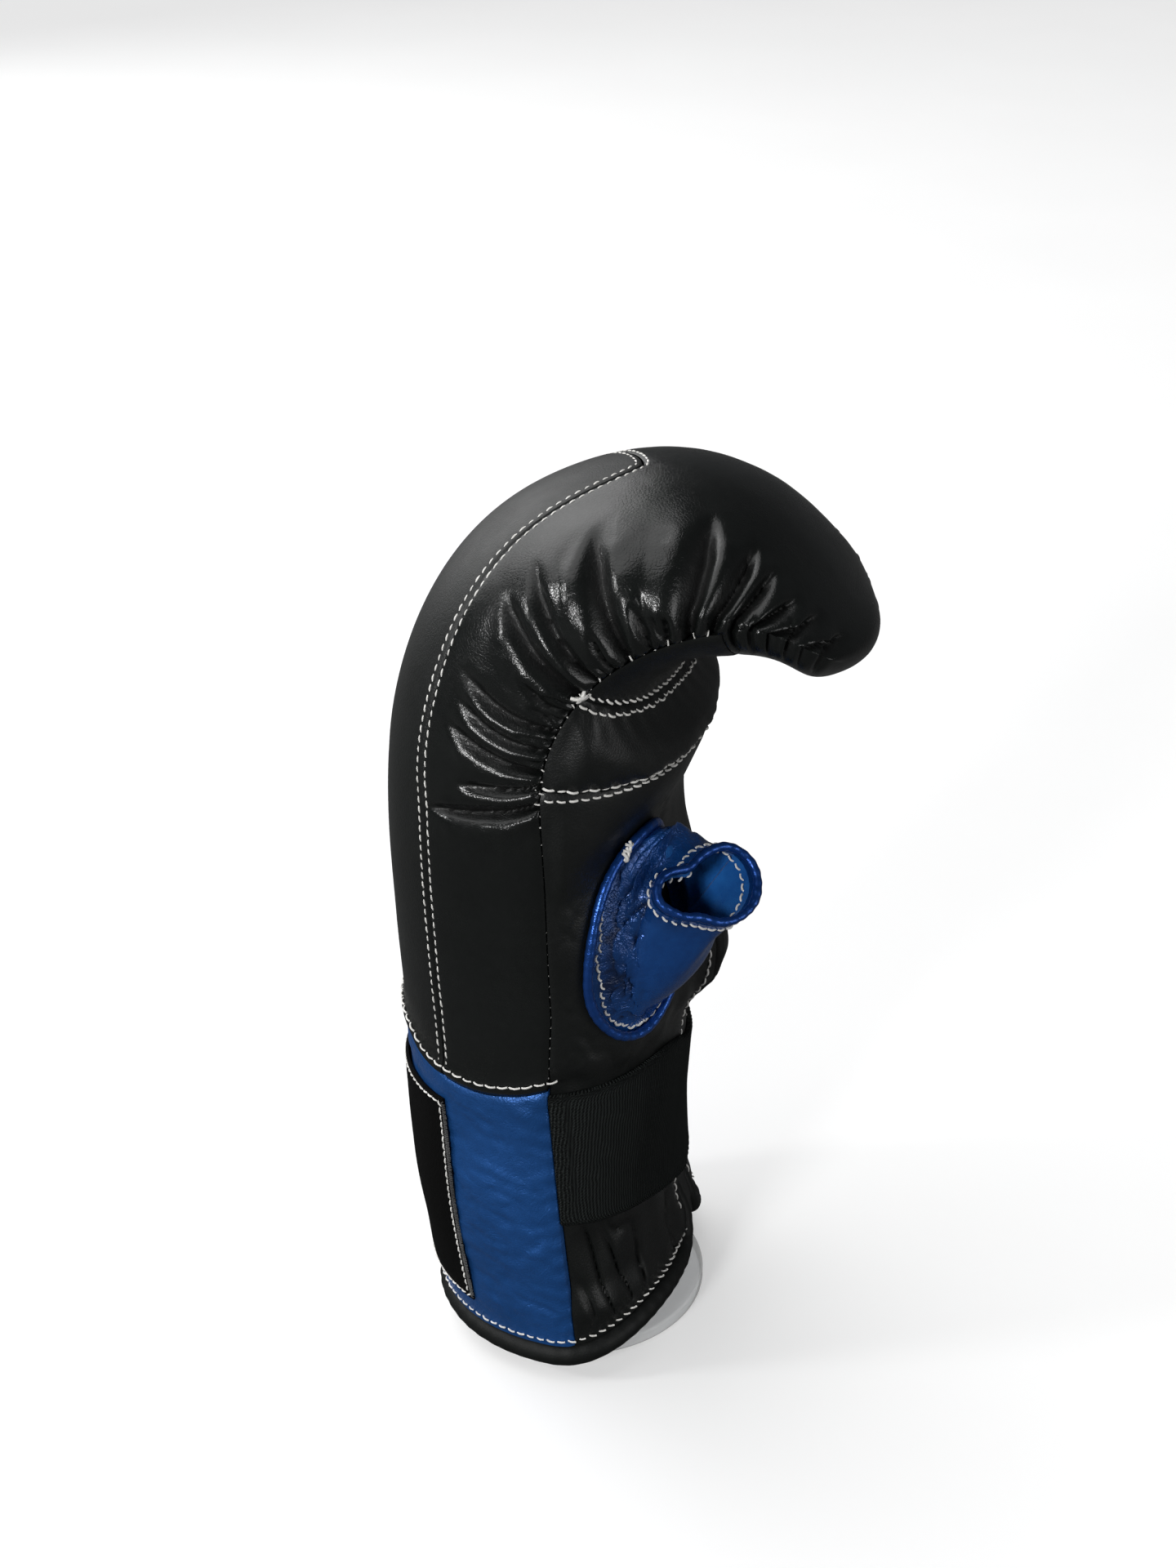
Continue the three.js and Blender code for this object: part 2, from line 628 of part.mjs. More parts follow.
function palmPair(place) {
  return (row, share) => {
    const s = place(row, share);
    const turnOf = (size) => lerp(seamTurn(size, -half), 2 * Math.PI - seamTurn(size, -half), share);
    const face = outerSize(s, (ELASTIC + GAP) * underElastic(s));
    const lining = hollowSize(s, palmWallAt(s) + (ELASTIC + GAP) * underElastic(s));
    const outerPoint = sectionPoint(s, face, turnOf(face));
    const innerPoint = sectionPoint(s, lining, turnOf(lining));
    const stand = flare(outerPoint.y, s);
    outerPoint.x += stand;
    innerPoint.x += stand;
    return [outerPoint, innerPoint];
  };
}

// Rows of the palm panel: the lowest follow the rim, and the others are level.
const palmBottom = RIM_ROLL + GAP;
const rimSeamTurn = seamTurn(outerSize(0), -half);
const palmRise = (share) => rimRise(lerp(rimSeamTurn, Math.PI, 1 - Math.abs(2 * share - 1)));
const palmPlace = (row, share) =>
  row + palmRise(share) * (1 - smooth(row, palmBottom, PRESS.lowFull * CUFF_LENGTH));
const palmRows = [
  palmBottom,
  lerp(palmBottom, PRESS.low * CUFF_LENGTH, 0.7),
  ...span(2).map((t) => lerp(PRESS.low, PRESS.lowFull, (1 + t) / 2) * CUFF_LENGTH),
  ...span(4).slice(1).map((t) => lerp(PRESS.lowFull, FLARE_LOW, t) * CUFF_LENGTH),
  CUFF_LENGTH,
  ...span(3).map((t) => lerp(PRESS.highFull, PRESS.high, t) * CUFF_LENGTH),
  ...span(14).slice(1).map((t) => lerp(PRESS.high * CUFF_LENGTH, GRIP_AT - half, t)),
];
const palmColumns = span(20);
const palmSheet = thickSheet([{ rows: palmRows, columns: palmColumns, pair: palmPair(palmPlace) }]);

const slitFoot = RIM_Z + RIM_RISE + CORNER_RADIUS;
const cutRadius = CORNER_RADIUS - RIM_ROLL - GAP;
const cornerY = SLIT_Y - SLIT_EDGE - cutRadius;
const arc = (y, z, radius, from, to, steps) => span(steps).map((t) => {
  const turn = lerp(from, to, t);
  return new THREE.Vector2(y + radius * Math.cos(turn), z + radius * Math.sin(turn));
});
const nearCorner = arc(cornerY, slitFoot, cutRadius, -Math.PI / 2, 0, 4);
const slitEnd = arc(SLIT_Y, RIM_Z + SLIT_TOP - SLIT_EDGE, SLIT_EDGE, Math.PI, 0, 8);
const farCorner = nearCorner.map((p) => new THREE.Vector2(2 * SLIT_Y - p.x, p.y)).reverse();
const slitOutline = [
  new THREE.Vector2(cornerY, 0), ...nearCorner, ...slitEnd, ...farCorner,
  new THREE.Vector2(2 * SLIT_Y - cornerY, 0),
];
const thumbHole = SLEEVE_FOOT + THUMB_LEATHER;
const holeOutline = span(28).slice(0, -1).map((t) => new THREE.Vector2(
  THUMB_Y + (THUMB_HALF_WIDTH - thumbHole) * Math.cos(2 * Math.PI * t) + THUMB_LEAN * Math.sin(2 * Math.PI * t),
  RIM_Z + THUMB_HEIGHT + (THUMB_HALF_HEIGHT - thumbHole) * Math.sin(2 * Math.PI * t),
));
const palmSolid = toManifold(palmSheet).subtract(palmCutter(slitOutline)).subtract(palmCutter(holeOutline));
add('palm_panel', fromManifold(palmSolid), FINISHES.blackLeather);

const bandPanel = (from, to, rows) => thickSheet([{
  rows: span(rows), columns: span(14), pair: palmPair((t) => lerp(from + half, to - half, t)),
}]);
add('grip_bar', bandPanel(GRIP_AT, FINGERS_AT, 7), FINISHES.blackLeather);
add('finger_panel', bandPanel(FINGERS_AT, FINGERS_END, 8), FINISHES.blackLeather);

// Elastic band across the palm side of the cuff

function elasticPair(t, share) {
  const fromThumb = 1 - share;
  const s = lerp(elasticLow(fromThumb), elasticHigh(fromThumb), t);
  const at = (inset) => {
    const size = outerSize(s, inset);
    return sectionPoint(s, size, lerp(seamTurn(size, -half), 2 * Math.PI - seamTurn(size, -half), share));
  };
  return [at(0), at(ELASTIC)];
}
add('elastic_band', thickSheet([{ rows: span(4), columns: palmColumns, pair: elasticPair }]), FINISHES.elastic);

// Binding: one rolled edge round the rim, up one side of the slit and down the other

function rimPath() {
  const size = outerSize(RIM_RISE);
  const turnAt = (y) => Math.asin((Math.abs(y) / size.side) ** (PALM_ROUNDNESS / 2));
  const from = -(Math.PI + turnAt(cornerY));
  const to = Math.PI - turnAt(2 * SLIT_Y - cornerY);
  return span(46).map((t) => {
    const turn = lerp(from, to, t);
    const s = rimRise(turn);
    const outer = sectionPoint(s, outerSize(s), turn);
    return outer.lerp(sectionPoint(s, hollowSize(s, PALM_LEATHER), turn), 0.5);
  });
}

// A point of the slit's rolled edge, at a width and height, as deep as the leather lies there.
function slitPoint(y, z) {
  const s = z - RIM_Z;
  const point = palmFace(y, s, 0).point;
  point.x -= lerp(PALM_LEATHER / 2, SLIT_ROLL + GAP, underElastic(s));
  return point;
}

const rollRadius = SLIT_OPENING / 2 + SLIT_ROLL;
const slitEndZ = RIM_Z + SLIT_TOP - SLIT_EDGE;
const cornerRoll = span(5).slice(1).map((t) => {
  const roll = lerp(RIM_ROLL, SLIT_ROLL, t);
  const turn = lerp(-Math.PI / 2, 0, t);
  const reach = cutRadius + roll + GAP;
  return { y: cornerY + reach * Math.cos(turn), z: slitFoot + reach * Math.sin(turn), roll };
});
const nearEdge = span(13).slice(1).map((t) => (
  { y: SLIT_Y - rollRadius, z: lerp(slitFoot, slitEndZ, t), roll: SLIT_ROLL }
));
const slitTop = arc(SLIT_Y, slitEndZ, rollRadius, Math.PI, Math.PI / 2, 3).slice(1)
  .map((p) => ({ y: p.x, z: p.y, roll: SLIT_ROLL }));
const nearHalf = [...cornerRoll, ...nearEdge, ...slitTop];
const farHalf = nearHalf.slice(0, -1).map((p) => ({ ...p, y: 2 * SLIT_Y - p.y })).reverse();
const rimPoints = rimPath();
const slitRun = [...nearHalf, ...farHalf].reverse();
const bindingPath = [...rimPoints, ...slitRun.map((p) => slitPoint(p.y, p.z))];
const bindingRadii = [...rimPoints.map(() => RIM_ROLL), ...slitRun.map((p) => p.roll)];
const fromMiddle = (p) => new THREE.Vector3(p.x - WRIST_FORWARD, p.y, 0).normalize();
add('edge_binding', closedTube(bindingPath, bindingRadii, fromMiddle, 8), FINISHES.blackLeather);

// Thumb: welt round the oval, sleeve, and the turned edge of its mouth

const THUMB_SIDES = 24;
const thumbTurns = span(THUMB_SIDES).slice(0, -1).map((t) => 2 * Math.PI * t);
const ovalPoint = (turn, shrink, lift) => palmFace(
  THUMB_Y + (THUMB_HALF_WIDTH - shrink) * Math.cos(turn) + THUMB_LEAN * Math.sin(turn),
  THUMB_HEIGHT + (THUMB_HALF_HEIGHT - shrink) * Math.sin(turn),
  lift,
);
const mouthMiddle = palmFace(THUMB_Y, THUMB_HEIGHT, 0).point
  .add(new THREE.Vector3(THUMB_REACH, THUMB_SWING, THUMB_RISE));
const mouthDown = new THREE.Vector3(0, 1, 0).cross(MOUTH_FACING).normalize();
const mouthAcross = MOUTH_FACING.clone().cross(mouthDown);
const mouthReach = column(
  [
    { ...MOUTH_OUTLINE.at(-1), turn: MOUTH_OUTLINE.at(-1).turn - 360 },
    ...MOUTH_OUTLINE,
    ...MOUTH_OUTLINE.slice(0, 2).map((row) => ({ ...row, turn: row.turn + 360 })),
  ],
  (row) => row.turn,
  (row) => row.reach * THUMB_MOUTH,
);

// A point of the mouth's edge: the oval's top meets the mouth's upper side.
function mouthPoint(turn, shrink) {
  const round = turn + Math.PI / 2;
  const reach = mouthReach(THREE.MathUtils.euclideanModulo(THREE.MathUtils.radToDeg(round), 360)) - shrink;
  return mouthMiddle.clone()
    .addScaledVector(mouthDown, reach * Math.cos(round))
    .addScaledVector(mouthAcross, reach * Math.sin(round));
}

const SLEEVE_PULL = 1.15; // how long the sleeve follows its ends' directions, as a share of its reach
function sleevePair(t, turn) {
  const pull = SLEEVE_PULL * Math.hypot(THUMB_REACH, THUMB_RISE);
  const leave = new THREE.Vector3(pull, 0, 0);
  const arrive = MOUTH_FACING.clone().multiplyScalar(pull);
  const at = (shrink) => {
    const base = ovalPoint(turn, SLEEVE_FOOT + shrink, GAP).point;
    const mouth = mouthPoint(turn, shrink);
    const rise = t * t * (3 - 2 * t);
    return base.multiplyScalar(1 - rise)
      .addScaledVector(mouth, rise)
      .addScaledVector(leave, t * (1 - t) * (1 - t))
      .addScaledVector(arrive, -t * t * (1 - t));
  };
  return [at(0), at(THUMB_LEATHER)];
}
add('thumb_sleeve', thickSheet([{
  rows: [0, 0.14, 0.32, 0.5, 0.68, 0.85, 1], columns: [...thumbTurns, 0], pair: sleevePair,
}]), FINISHES.blueLeather);

add('thumb_welt', closedTube(
  thumbTurns.map((turn) => ovalPoint(turn, WELT, WELT + GAP).point),
  thumbTurns.map(() => WELT),
  (p, i) => ovalPoint(thumbTurns[i], WELT, 0).normal,
  6,
), FINISHES.blueLeather);

add('thumb_mouth_roll', closedTube(
  thumbTurns.map((turn) => mouthPoint(turn, THUMB_LEATHER / 2).addScaledVector(MOUTH_FACING, THUMB_ROLL + GAP)),
  thumbTurns.map(() => THUMB_ROLL),
  (p) => p.clone().sub(mouthMiddle),
  6,
), FINISHES.blueLeather);

// Stand: a clear disc, and a tapered tube that fills the wrist and holds the knuckles from inside

// Room between a point of the glove's middle plane and the hollow's walls.
function roomAt(x, z) {
  let s = z - RIM_Z;
  let out = seamLine(Math.min(s, BEND_AT)).x - x;
  if (s > BEND_AT) {
    const ahead = WRIST_FORWARD - BEND_BACK + CURL_RADIUS - x;
    const above = s - BEND_AT;
    s = BEND_AT + CURL_RADIUS * Math.atan2(above, ahead);
    out = Math.hypot(ahead, above) - CURL_RADIUS;
  }
  const hollow = hollowSize(s, palmWallAt(s) + (ELASTIC + GAP) * underElastic(s));
  return { back: hollow.back - out, palm: out + hollow.palm };
}

const tubeBottom = DISC_THICKNESS + GAP;
let tubeTop = RIM_Z + BEND_AT;
while (roomAt(-TUBE_TOP_RADIUS, tubeTop + 0.05).back > GAP) tubeTop += 0.05;

// The widest foot whose straight taper still clears the cuff and the palm.
const tubeFoot = Math.min(...span(40).slice(0, -8).map((t) => {
  const z = lerp(Math.max(tubeBottom, RIM_Z), tubeTop, t);
  let radius = TUBE_TOP_RADIUS;
  const fits = (r) => Math.min(roomAt(-r, z).back, roomAt(r, z).palm) > TUBE_CLEARANCE;
  while (radius < DISC_RADIUS && fits(radius + 0.1)) radius += 0.1;
  return (radius - TUBE_TOP_RADIUS * t) / (1 - t);
}));

function turned(profile, segments) {
  const geometry = new THREE.LatheGeometry(profile.map(([r, z]) => new THREE.Vector2(r, z)), segments);
  geometry.rotateX(Math.PI / 2);
  return geometry;
}

const DISC_EDGE = 1; // softened edge of the disc
add('stand_base', turned([
  [0, 0],
  [DISC_RADIUS - DISC_EDGE, 0],
  [DISC_RADIUS, DISC_EDGE],
  [DISC_RADIUS, DISC_THICKNESS - DISC_EDGE],
  [DISC_RADIUS - DISC_EDGE, DISC_THICKNESS],
  [0, DISC_THICKNESS],
], 40), FINISHES.acrylic);
add('stand_tube', turned([
  [tubeFoot - TUBE_WALL, tubeBottom],
  [tubeFoot, tubeBottom],
  [TUBE_TOP_RADIUS, tubeTop],
  [TUBE_TOP_RADIUS - TUBE_WALL, tubeTop],
  [tubeFoot - TUBE_WALL, tubeBottom],
], 32), FINISHES.acrylic);

export default group;
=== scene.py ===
# %% [markdown]
# A bag glove is a light padded mitt for punching a heavy bag. This one is for the left hand: black
# leather over foam on the back of the hand, a gathered side panel, a blue cuff, a short open thumb
# and a slit palm held by elastic. It stands over a clear tube on a clear disc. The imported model
# gives its exact forms as plain solids, and this script dresses each of them.

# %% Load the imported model
import math

import bpy
import numpy as np
from mathutils import Matrix, Vector, kdtree


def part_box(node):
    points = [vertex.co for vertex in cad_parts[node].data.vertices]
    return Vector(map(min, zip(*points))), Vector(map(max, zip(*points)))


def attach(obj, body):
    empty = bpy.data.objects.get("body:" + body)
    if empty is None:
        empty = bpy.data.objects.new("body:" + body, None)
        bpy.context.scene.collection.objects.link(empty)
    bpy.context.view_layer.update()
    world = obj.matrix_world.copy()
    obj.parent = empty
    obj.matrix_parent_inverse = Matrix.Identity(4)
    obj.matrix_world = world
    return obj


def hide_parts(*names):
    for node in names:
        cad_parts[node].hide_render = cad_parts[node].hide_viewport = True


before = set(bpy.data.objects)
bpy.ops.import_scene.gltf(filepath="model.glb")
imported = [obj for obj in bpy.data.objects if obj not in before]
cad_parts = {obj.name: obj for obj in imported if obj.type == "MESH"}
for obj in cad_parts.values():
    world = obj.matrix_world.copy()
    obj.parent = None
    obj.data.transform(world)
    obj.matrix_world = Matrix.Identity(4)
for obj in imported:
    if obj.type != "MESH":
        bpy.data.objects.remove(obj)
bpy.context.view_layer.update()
print("nodes to dress:", len(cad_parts))

# %% [markdown]
# All shapes below are worked out in millimetres, as a pattern cutter would, and turned into
# metres only when a mesh is made. Every random draw is seeded, so each run of the script gives
# the same glove.

# %% Units and small helpers
MM = 0.001
FULL_TURN = 2 * math.pi


def smooth(value, low, high):
    """0 below low, 1 above high, and an S-curve between them."""
    t = np.clip((value - low) / (high - low), 0, 1)
    return t * t * (3 - 2 * t)


def fade(value, low, high):
    """1 below low, 0 above high, and an S-curve between them."""
    return 1 - smooth(value, low, high)


def hump(value, at, width):
    """A soft bell: 1 at a place and near 0 two widths away from it."""
    return np.exp(-(((value - at) / width) ** 2))


def mix(a, b, t):
    return a + (b - a) * t


def unit(v):
    return v / np.maximum(np.linalg.norm(v, axis=-1, keepdims=True), 1e-9)


def lattice(rows, columns):
    """A grid of each of the two values."""
    return np.meshgrid(rows, columns, indexing="ij")


def curve_through(places, values):
    """A smooth curve through a table's column, flat beyond its ends."""
    x = np.array(places, float)
    y = np.array(values, float)
    last = len(x) - 1
    before = np.maximum(np.arange(last + 1) - 1, 0)
    after = np.minimum(np.arange(last + 1) + 1, last)
    slope = (y[after] - y[before]) / (x[after] - x[before])

    def at(place):
        p = np.clip(place, x[0], x[last])
        i = np.clip(np.searchsorted(x, p, side="right") - 1, 0, last - 1)
        h = x[i + 1] - x[i]
        t = (p - x[i]) / h
        rise = t * t * (3 - 2 * t)
        bend = slope[i] * t * (1 - t) ** 2 - slope[i + 1] * t * t * (1 - t)
        return y[i] * (1 - rise) + y[i + 1] * rise + h * bend

    return at


# %% [markdown]
# The glove has no straight edges to measure from, so its form hangs on one line: the side seam.
# It climbs from the rim to the wrist, runs on to where the fist starts to curl, and then follows
# an arc. At each place on it a section tells how far the back, the palm and the sides stand out.
# A short table of sections with smooth curves between them gives the whole body.

# %% Sizes of the glove's outer form
CUFF = 96.0  # rim to wrist seam
HAND = 102.0  # wrist seam to the start of the curl
CURL_RADIUS = 54.0
CURL = CURL_RADIUS * math.radians(127)
TIP_ROUNDING = 25.5
HALF_WIDTH = 58.0
BACK_DEPTH = 69.5
PALM_DEPTH = 30.0
PALM_ROUNDNESS = 2.2
WRIST_X = 12.0  # the side seam at the wrist, ahead of the stand's axis
RIM_X = WRIST_X + 16.0
BEND_X = WRIST_X - 3.0
RIM_RISE = 5.0
GAP = 0.3
DISC_THICKNESS = 4.5
RIM_ROLL = 4.2
SLIT_ROLL = 2.6
RIM_Z = DISC_THICKNESS + GAP + RIM_ROLL
BEND_AT = CUFF + HAND
TIP_AT = BEND_AT + CURL

# %% Wall thickness
BACK_PAD = 22.0
SIDE_PAD = 6.0
PALM_LEATHER = 2.6
GRIP_PAD = 12.0
ELASTIC = 1.8
THUMB_LEATHER = 2.0

# %% Sections from the rim to the fingertips
# Columns: length from the rim, back, palm, side, core (where it is widest), exponent of the back.
# Back and core are shares of BACK_DEPTH, palm of PALM_DEPTH and side of HALF_WIDTH.
SECTIONS = np.array([
    (0.0, 1.0, 0.34, 0.93, 0.26, 2.17),
    (0.5 * CUFF, 0.99, 0.48, 0.965, 0.23, 2.17),
    (CUFF, 0.91, 0.81, 0.94, 0.19, 2.24),
    (CUFF + 0.43 * HAND, 0.9, 0.86, 0.965, 0.17, 2.4),
    (CUFF + 0.745 * HAND, 0.895, 0.67, 0.99, 0.17, 2.4),
    (BEND_AT, 0.87, 1.02, 0.99, 0.17, 2.37),
    (BEND_AT + 0.157 * CURL, 0.837, 0.87, 0.99, 0.17, 2.05),
    (BEND_AT + 0.315 * CURL, 0.76, 0.55, 0.98, 0.17, 1.95),
    (BEND_AT + 0.472 * CURL, 0.6, 0.46, 0.93, 0.144, 2.1),
    (BEND_AT + 0.63 * CURL, 0.408, 0.527, 0.79, 0.086, 1.82),
    (BEND_AT + 0.787 * CURL, 0.139, 0.563, 0.655, -0.014, 1.73),
    (BEND_AT + 0.897 * CURL, 0.025, 0.727, 0.577, -0.07, 1.72),
    (TIP_AT, 0.042, 0.71, 0.535, -0.115, 2.0),
])
# Columns: length from the rim, back wall as a share of BACK_PAD, side wall of SIDE_PAD.
WALLS = np.array([
    (0.0, 0.23, 0.8),
    (0.85 * CUFF, 0.26, 0.8),
    (CUFF + 0.5 * HAND, 0.6, 0.9),
    (BEND_AT + 0.1 * CURL, 1.0, 1.0),
    (BEND_AT + 0.5 * CURL, 0.95, 1.0),
    (BEND_AT + 0.78 * CURL, 0.7, 1.0),
    (TIP_AT, 0.6, 1.0),
])
back_at = curve_through(SECTIONS[:, 0], SECTIONS[:, 1] * BACK_DEPTH)
palm_at = curve_through(SECTIONS[:, 0], SECTIONS[:, 2] * PALM_DEPTH)
side_at = curve_through(SECTIONS[:, 0], SECTIONS[:, 3] * HALF_WIDTH)
core_at = curve_through(SECTIONS[:, 0], SECTIONS[:, 4] * BACK_DEPTH)
square_at = curve_through(SECTIONS[:, 0], SECTIONS[:, 5])
back_wall_at = curve_through(WALLS[:, 0], WALLS[:, 1] * BACK_PAD)
side_wall_at = curve_through(WALLS[:, 0], WALLS[:, 2] * SIDE_PAD)
# How far the side seam lies behind its line, towards the back, at lengths from the rim.
seam_shift_at = curve_through([0.0, 0.5 * CUFF, CUFF, CUFF + 30], [9.5, 6.0, 2.5, 0.0])

# %% Palm lengths
GRIP_AT = CUFF + HAND + 4.0
FINGERS_AT = GRIP_AT + 32.0
FINGERS_END = FINGERS_AT + 43.0
POCKET_END = FINGERS_END + 0.35 * (TIP_AT - FINGERS_END)


# %% The side seam line and one section of the glove
def seam_line(s):
    """x, z and turn of the section plane at lengths s from the rim."""
    turn = np.maximum(s - BEND_AT, 0) / CURL_RADIUS
    x = np.interp(s, [0, CUFF, BEND_AT], [RIM_X, WRIST_X, BEND_X]) + CURL_RADIUS * (1 - np.cos(turn))
    z = RIM_Z + np.minimum(s, BEND_AT) + CURL_RADIUS * np.sin(turn)
    return x, z, turn


def close_off(size, s, start, end):
    """Rounds the sections off towards an end."""
    t = np.clip((s - start) / (end - start), 0, 1)
    q = np.sqrt(1 - t * t)
    middle = (size["back"] - size["palm"]) / 2
    return {
        "back": middle + (size["back"] - middle) * q,
        "palm": -middle + (size["palm"] + middle) * q,
        "side": size["side"] * q,
        "core": middle + (size["core"] - middle) * q,
        "square": size["square"],
        "seam": size["seam"],
    }


def outer_size(s, inset=0.0):
    size = {
        "seam": seam_shift_at(s),
        "back": back_at(s),
        "palm": palm_at(s) - inset,
        "side": side_at(s) - inset,
        "core": core_at(s),
        "square": square_at(s),
    }
    return close_off(size, s, TIP_AT - TIP_ROUNDING, TIP_AT)


def hollow_size(s, palm_wall):
    """The hollow for the hand at lengths s."""
    back = back_at(s) - back_wall_at(s)
    palm = palm_at(s) - palm_wall
    size = {
        "seam": seam_shift_at(s),
        "back": back,
        "palm": palm,
        "side": side_at(s) - side_wall_at(s),
        "core": np.clip(core_at(s), 2 - palm, back - 2),
        "square": square_at(s),
    }
    return close_off(size, s, FINGERS_END - 0.5 * (POCKET_END - FINGERS_END), POCKET_END)


def palm_wall_at(s):
    return np.where((s > GRIP_AT) & (s < FINGERS_AT), GRIP_PAD, PALM_LEATHER)


def section_point(s, size, turn):
    """Points of the sections: turn 0 is the middle of the back, half a turn the palm."""
    x, z, lean = seam_line(s)
    on_back = np.cos(turn) >= 0
    power = 2 / np.where(on_back, size["square"], PALM_ROUNDNESS)
    depth = np.where(on_back, size["back"] - size["core"], -(size["palm"] + size["core"]))
    out = size["core"] + depth * np.abs(np.cos(turn)) ** power
    y = np.sign(np.sin(turn)) * size["side"] * np.abs(np.sin(turn)) ** power
    return np.stack([x - out * np.cos(lean), y, z + out * np.sin(lean)], -1)


def seam_turn(size, offset=0.0):
    """Turn at which a section crosses the side seam."""
    share = (size["core"] - size["seam"] - offset) / np.maximum(size["palm"] + size["core"], 1e-6)
    return math.pi / 2 + np.arcsin(np.clip(share, 0, 1) ** (PALM_ROUNDNESS / 2))


# %% The back panel's tongue
TONGUE_HALF_TURN = math.radians(64)
TONGUE_SHOULDER = CUFF + 0.88 * HAND
TONGUE_END = BEND_AT + 0.5 * CURL
TONGUE_TAPER = 0.72


def tongue_turn(s, size, end=TONGUE_END, gap=0.0):
    """Turn of the tongue's edge, which narrows over the knuckles."""
    t = np.clip((s - TONGUE_SHOULDER) / (end - TONGUE_SHOULDER), 0, 1)
    edge = TONGUE_HALF_TURN * (1 - t * t) ** TONGUE_TAPER + gap / np.maximum(size["side"], 1)
    return np.where(t < 1, np.maximum(edge, 0), 0)


def face(s, turn, inset=0.0):
    """Points on the glove's outer form."""
    s, turn = np.broadcast_arrays(np.asarray(s, float), np.asarray(turn, float))
    return section_point(s, outer_size(s, inset), turn)


def face_normal(s, turn):
    """Outward normals of that form, from small steps along and around it."""
    step = 0.4
    along = face(s + step, turn) - face(s - step, turn)
    around = face(s, turn + step / HALF_WIDTH) - face(s, turn - step / HALF_WIDTH)
    normal = unit(np.cross(along, around))
    x, z, _ = seam_line(s)
    middle = np.stack([x, np.zeros_like(x), z], -1)
    outward = np.sum(normal * (face(s, turn) - middle), -1, keepdims=True)
    return normal * np.where(outward < 0, -1, 1)


print("seam line length, mm:", round(TIP_AT, 1))

# %% [markdown]
# The palm side is one soft sheet. The elastic band presses it in at the cuff, and beside the slit
# it stands out behind the thumb. Its places are easier to give by width y than by turn.

# %% The palm's face
SLIT_Y = 18.0
SLIT_OPENING = 6.0
SLIT_TOP = 146.0
SLIT_EDGE = SLIT_OPENING / 2 + 2 * SLIT_ROLL + GAP
FLARE = 10.5
FLARE_SPREAD = 14.0
FLARE_LOW = 0.93 * CUFF
FLARE_HIGH = SLIT_TOP + 5.0
PRESS_AT = np.array([0.16, 0.27, 1.04, 1.15]) * CUFF


def under_elastic(s):
    """1 where the elastic presses the palm in, 0 away from it."""
    return smooth(s, PRESS_AT[0], PRESS_AT[1]) * fade(s, PRESS_AT[2], PRESS_AT[3])


def flare(y, s):
    """How far the leather stands out beside the slit."""
    t = np.clip((s - FLARE_LOW) / (FLARE_HIGH - FLARE_LOW), 0, 1)
    return FLARE * hump(y, SLIT_Y, FLARE_SPREAD) * np.sin(math.pi * t) ** 2


def palm_face(y, s):
    """Points of the palm's outer leather at widths y and lengths s below the bend."""
    y, s = np.broadcast_arrays(np.asarray(y, float), np.asarray(s, float))
    size = outer_size(s, (ELASTIC + GAP) * under_elastic(s))
    share = np.minimum(np.abs(y) / size["side"], 0.999)
    reach = (1 - share**PALM_ROUNDNESS) ** (1 / PALM_ROUNDNESS)
    out = size["core"] - (size["palm"] + size["core"]) * reach
    x, z, _ = seam_line(s)
    return np.stack([x - out + flare(y, s), y, z], -1)


def palm_normal(y, s):
    step = 0.5
    across = palm_face(y + step, s) - palm_face(y - step, s)
    along = palm_face(y, s + step) - palm_face(y, s - step)
    return unit(np.cross(across, along))


# %% [markdown]
# Each panel is a thick sheet: an outer grid of points, an inner grid behind it, and narrow walls
# round its free edges, so that it is a closed body like the real padded leather. Points that meet
# are welded, and the faces are turned outwards by the sign of the body's volume.

# %% Thick sheets and meshes
def sheet_faces(patches):
    """Welds patches (outer, inner, uv) into vertices, faces, face corner uv and face sides."""
    outer = np.concatenate([p[0].reshape(-1, 3) for p in patches])
    inner = np.concatenate([p[1].reshape(-1, 3) for p in patches])
    uv = np.concatenate([p[2].reshape(-1, 2) for p in patches])
    quads = []
    start = 0
    for grid, _, _ in patches:
        rows, columns = grid.shape[:2]
        index = start + np.arange(rows * columns).reshape(rows, columns)
        corners = [index[:-1, :-1], index[:-1, 1:], index[1:, 1:], index[1:, :-1]]
        quads.append(np.stack(corners, -1).reshape(-1, 4))
        start += rows * columns
    quads = np.concatenate(quads)
    _, first, inverse = np.unique(np.round(outer, 2), axis=0, return_index=True, return_inverse=True)
    inverse = inverse.reshape(-1)
    count = len(first)
    faces = []
    corners = []
    for quad in quads:
        kept = [q for i, q in enumerate(quad) if inverse[q] != inverse[quad[i - 1]]]
        if len({inverse[q] for q in kept}) == len(kept) and len(kept) > 2:
            faces.append([int(inverse[q]) for q in kept])
            corners.append([int(q) for q in kept])
    edges = {}
    for f in faces:
        for a, b in zip(f, f[1:] + f[:1]):
            if edges.pop((b, a), None) is None:
                edges[(a, b)] = True
    home = {int(inverse[q]): int(q) for c in corners for q in c}
    everything = list(faces)
    where = list(corners)
    everything += [[v + count for v in reversed(f)] for f in faces]
    where += [list(reversed(c)) for c in corners]
    for a, b in edges:
        everything.append([b, a, a + count, b + count])
        where.append([home[b], home[a], home[a], home[b]])
    sides = [0] * len(faces) + [1] * len(faces) + [0] * len(edges)
    return np.concatenate([outer[first], inner[first]]), everything, uv, where, sides, first


